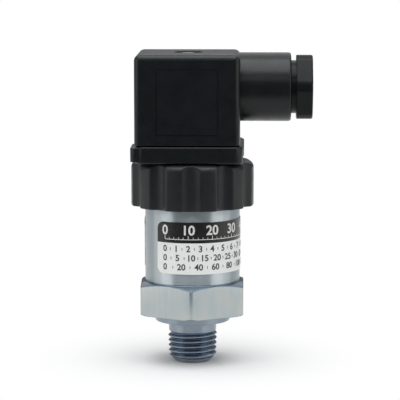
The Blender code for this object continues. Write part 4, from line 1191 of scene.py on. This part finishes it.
def finish_node(name, finish, edge):
    """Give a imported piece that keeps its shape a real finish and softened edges."""
    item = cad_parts[name]
    custom = item.data.attributes.get("custom_normal")
    if custom:
        item.data.attributes.remove(custom)
    weld = item.modifiers.new("weld", 'WELD')
    weld.merge_threshold = PACKED_MERGE
    if edge:
        soft_edges(item, edge)
    item.data.materials.clear()
    item.data.materials.append(FINISH[finish])
    item.data.shade_smooth()
    normals = item.modifiers.new("normals", 'WEIGHTED_NORMAL')
    normals.keep_sharp = True


def finish_nodes():
    """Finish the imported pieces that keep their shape. Edge widths here are in millimetres."""
    kept = {
        "guide_bush": ("brass", 0.1), "backup_ring": ("insulator", 0.05),
        "piston": ("steel", 0.1), "spring_seat": ("steel", 0.12), "push_rod": ("steel", 0.1),
        "thrust_washer": ("steel", 0.1), "adjusting_screw": ("brass", 0.12),
        "switch_cup": ("insulator", 0.12), "button": ("insulator", 0.08),
        "contact_blade": ("contact", 0.03), "common_terminal": ("contact", 0.06),
        "normally_open_terminal": ("contact", 0.06), "normally_closed_terminal": ("contact", 0.06),
        "earth_pin": ("contact", 0.06), "threaded_insert": ("brass", 0.08),
        "flat_gasket": ("clear_rubber", 0.15),
        "socket_insert": ("block", 0.12), "gland_washer": ("steel", 0.08),
        "gland_seal": ("rubber", 0.25), "screw_washer": ("rubber", 0.08),
        "piston_seal": ("rubber", 0.0), "body_seal": ("rubber", 0.0),
    }
    for side in PIN_TURNS:
        kept[f"socket_terminal_{side}"] = ("brass", 0.06)
        kept[f"terminal_screw_{side}"] = ("screw", 0.08)
    for name, (finish, edge) in kept.items():
        finish_node(name, finish, edge * MM)


# ---- studio

LIGHT_TARGET = (0.002, 0.0, 0.043)  # what the soft boxes and most cards face
CAMERA_TARGET = (0.00198, 0.0, 0.04285)
CAMERA_DISTANCE = 0.557
CAMERA_ELEVATION = radians(7.39)
CAMERA_YAW = radians(1.27)
CAMERA_LENS = 189.54  # millimetres, on a sensor of the width below
SENSOR_WIDTH = 36.0
AMBIENT = 0.6  # strength of the white surroundings as a light
FLOOR_Z = -0.1 * MM
FLOOR_THICKNESS = 5 * MM
FLOOR_HALF = 6.0
FLOOR_REACH = 0.05  # radius over which the floor turns white

SOFT_BOXES = (  # name, place, size, power, colour
    ("top box", (0.0, -0.08, 0.55), (0.6, 0.5), 2.9, (0.95, 0.99, 1.0)),
    ("front box", (0.0, -0.47, 0.37), (0.5, 0.1), 0.25),
    ("left box", (-0.62, -0.28, 0.12), (0.35, 0.6), 0.52),
    ("right box", (0.62, -0.28, 0.12), (0.35, 0.6), 0.48),
)
GREY_CARDS = (  # name, place, what it faces, width, height, tone
    ("front card", (0.0, -0.62, 0.2), LIGHT_TARGET, 1.3, 1.1, (0.15, 0.175, 0.20)),
    ("floor card", (0.0, -0.37, 0.001), (0.0, -0.37, 1.0), 1.2, 0.5, (0.14, 0.16, 0.19)),
    ("back card", (0.0, 0.7, 0.1), LIGHT_TARGET, 1.0, 0.30, (0.17, 0.18, 0.19)),
    ("left rear card", (-0.6, 0.45, 0.2), LIGHT_TARGET, 0.62, 0.7, (0.27, 0.32, 0.36)),
    ("right rear card", (0.6, 0.45, 0.2), LIGHT_TARGET, 0.62, 0.7, (0.22, 0.27, 0.31)),
)


def soft_box(name, place, size, power, color=(1.0, 1.0, 1.0)):
    """A large area light that faces the object."""
    data = bpy.data.lights.new(name, 'AREA')
    data.shape = 'RECTANGLE'
    data.size, data.size_y = size
    data.energy = power
    data.color = color
    light = linked(name, data)
    light.location = place
    aim = Vector(LIGHT_TARGET) - Vector(place)
    light.rotation_euler = aim.to_track_quat('-Z', 'Y').to_euler()


def grey_card(name, place, target, width, height, tone):
    """An evenly toned board that the camera doesn't see and only reflections show."""
    aim = (Vector(target) - Vector(place)).to_track_quat('Z', 'Y').to_matrix().to_4x4()
    card = box(name, (-width / 2, -height / 2, -2 * MM), (width / 2, height / 2, 0.0))
    card.data.transform(Matrix.Translation(place) @ aim)
    paint = new_material(f"{name} paint", (0.0, 0.0, 0.0), 0.9, Specular_IOR_Level=0.0,
                         Emission_Color=(*tone, 1.0), Emission_Strength=1.0)
    card.data.materials.append(paint)
    card.visible_camera = False
    card.visible_diffuse = False
    card.visible_shadow = False


def seen_or_lighting(owner):
    """A strength that is 1 where a surface is seen or reflected, and less where it lights."""
    rays = add_node(owner, "LightPath").outputs
    seen = add_node(owner, "Math", {0: rays["Is Camera Ray"], 1: rays["Is Glossy Ray"]},
                    operation='MAXIMUM')
    either = add_node(owner, "Math", {0: seen.outputs[0], 1: rays["Is Transmission Ray"]},
                      operation='MAXIMUM')
    strength = add_node(owner, "MapRange", {"Value": either.outputs[0], "To Min": AMBIENT,
                                            "To Max": 1.0})
    return strength.outputs["Result"]


def studio_world():
    """White wherever it is seen, and a dimmer grey for the light that it gives."""
    world = bpy.data.worlds.new("studio")
    world.use_nodes = True
    background = world.node_tree.nodes["Background"]
    background.inputs["Color"].default_value = (1.0, 1.0, 1.0, 1.0)
    world.node_tree.links.new(seen_or_lighting(world), background.inputs["Strength"])
    bpy.context.scene.world = world


def pale_floor():
    """Matt pale floor around the object, which turns into the white surroundings further out."""
    floor = box("floor", (-FLOOR_HALF, -FLOOR_HALF, FLOOR_Z - FLOOR_THICKNESS),
                (FLOOR_HALF, FLOOR_HALF, FLOOR_Z))
    paint = new_material("floor paint", (0.74, 0.74, 0.74), 0.9, Specular_IOR_Level=0.1)
    where = add_node(paint, "TexCoord").outputs["Object"]
    reach = add_node(paint, "VectorMath", {0: where}, operation='LENGTH')
    fade = add_node(paint, "MapRange", {
        "Value": reach.outputs["Value"], "From Min": 0.0, "From Max": FLOOR_REACH},
        interpolation_type='SMOOTHSTEP')
    glow = add_node(paint, "Emission", {"Strength": seen_or_lighting(paint)})
    mix = add_node(paint, "MixShader", {
        "Fac": fade.outputs["Result"], 1: principled(paint).outputs["BSDF"],
        2: glow.outputs["Emission"]})
    surface = paint.node_tree.nodes["Material Output"].inputs["Surface"]
    paint.node_tree.links.new(mix.outputs["Shader"], surface)
    floor.data.materials.append(paint)


def camera():
    """Camera on a long lens, in front of the object and a little above it."""
    data = bpy.data.cameras.new("camera")
    data.sensor_width = SENSOR_WIDTH
    data.lens = CAMERA_LENS
    data.clip_start = 0.01
    eye = linked("camera", data)
    level = cos(CAMERA_ELEVATION)
    back = Vector((sin(CAMERA_YAW) * level, -cos(CAMERA_YAW) * level,
                   sin(CAMERA_ELEVATION)))
    eye.location = Vector(CAMERA_TARGET) + back * CAMERA_DISTANCE
    eye.rotation_euler = (-back).to_track_quat('-Z', 'Y').to_euler()
    bpy.context.scene.camera = eye


def studio():
    """Camera, white surroundings, floor, soft boxes and the cards that reflections show."""
    camera()
    studio_world()
    pale_floor()
    for settings in SOFT_BOXES:
        soft_box(*settings)
    for settings in GREY_CARDS:
        grey_card(*settings)
    bpy.context.scene.view_settings.view_transform = 'Standard'


# ---- assembly

def build():
    """Make the studio and all pieces."""
    studio()
    steel_body()
    wrapped_label()
    scale_print()
    fluted_ring()
    pin_flange()
    plug_hood()
    plug_screw()
    pressure_nut()
    coil_spring()
    finish_nodes()


build()
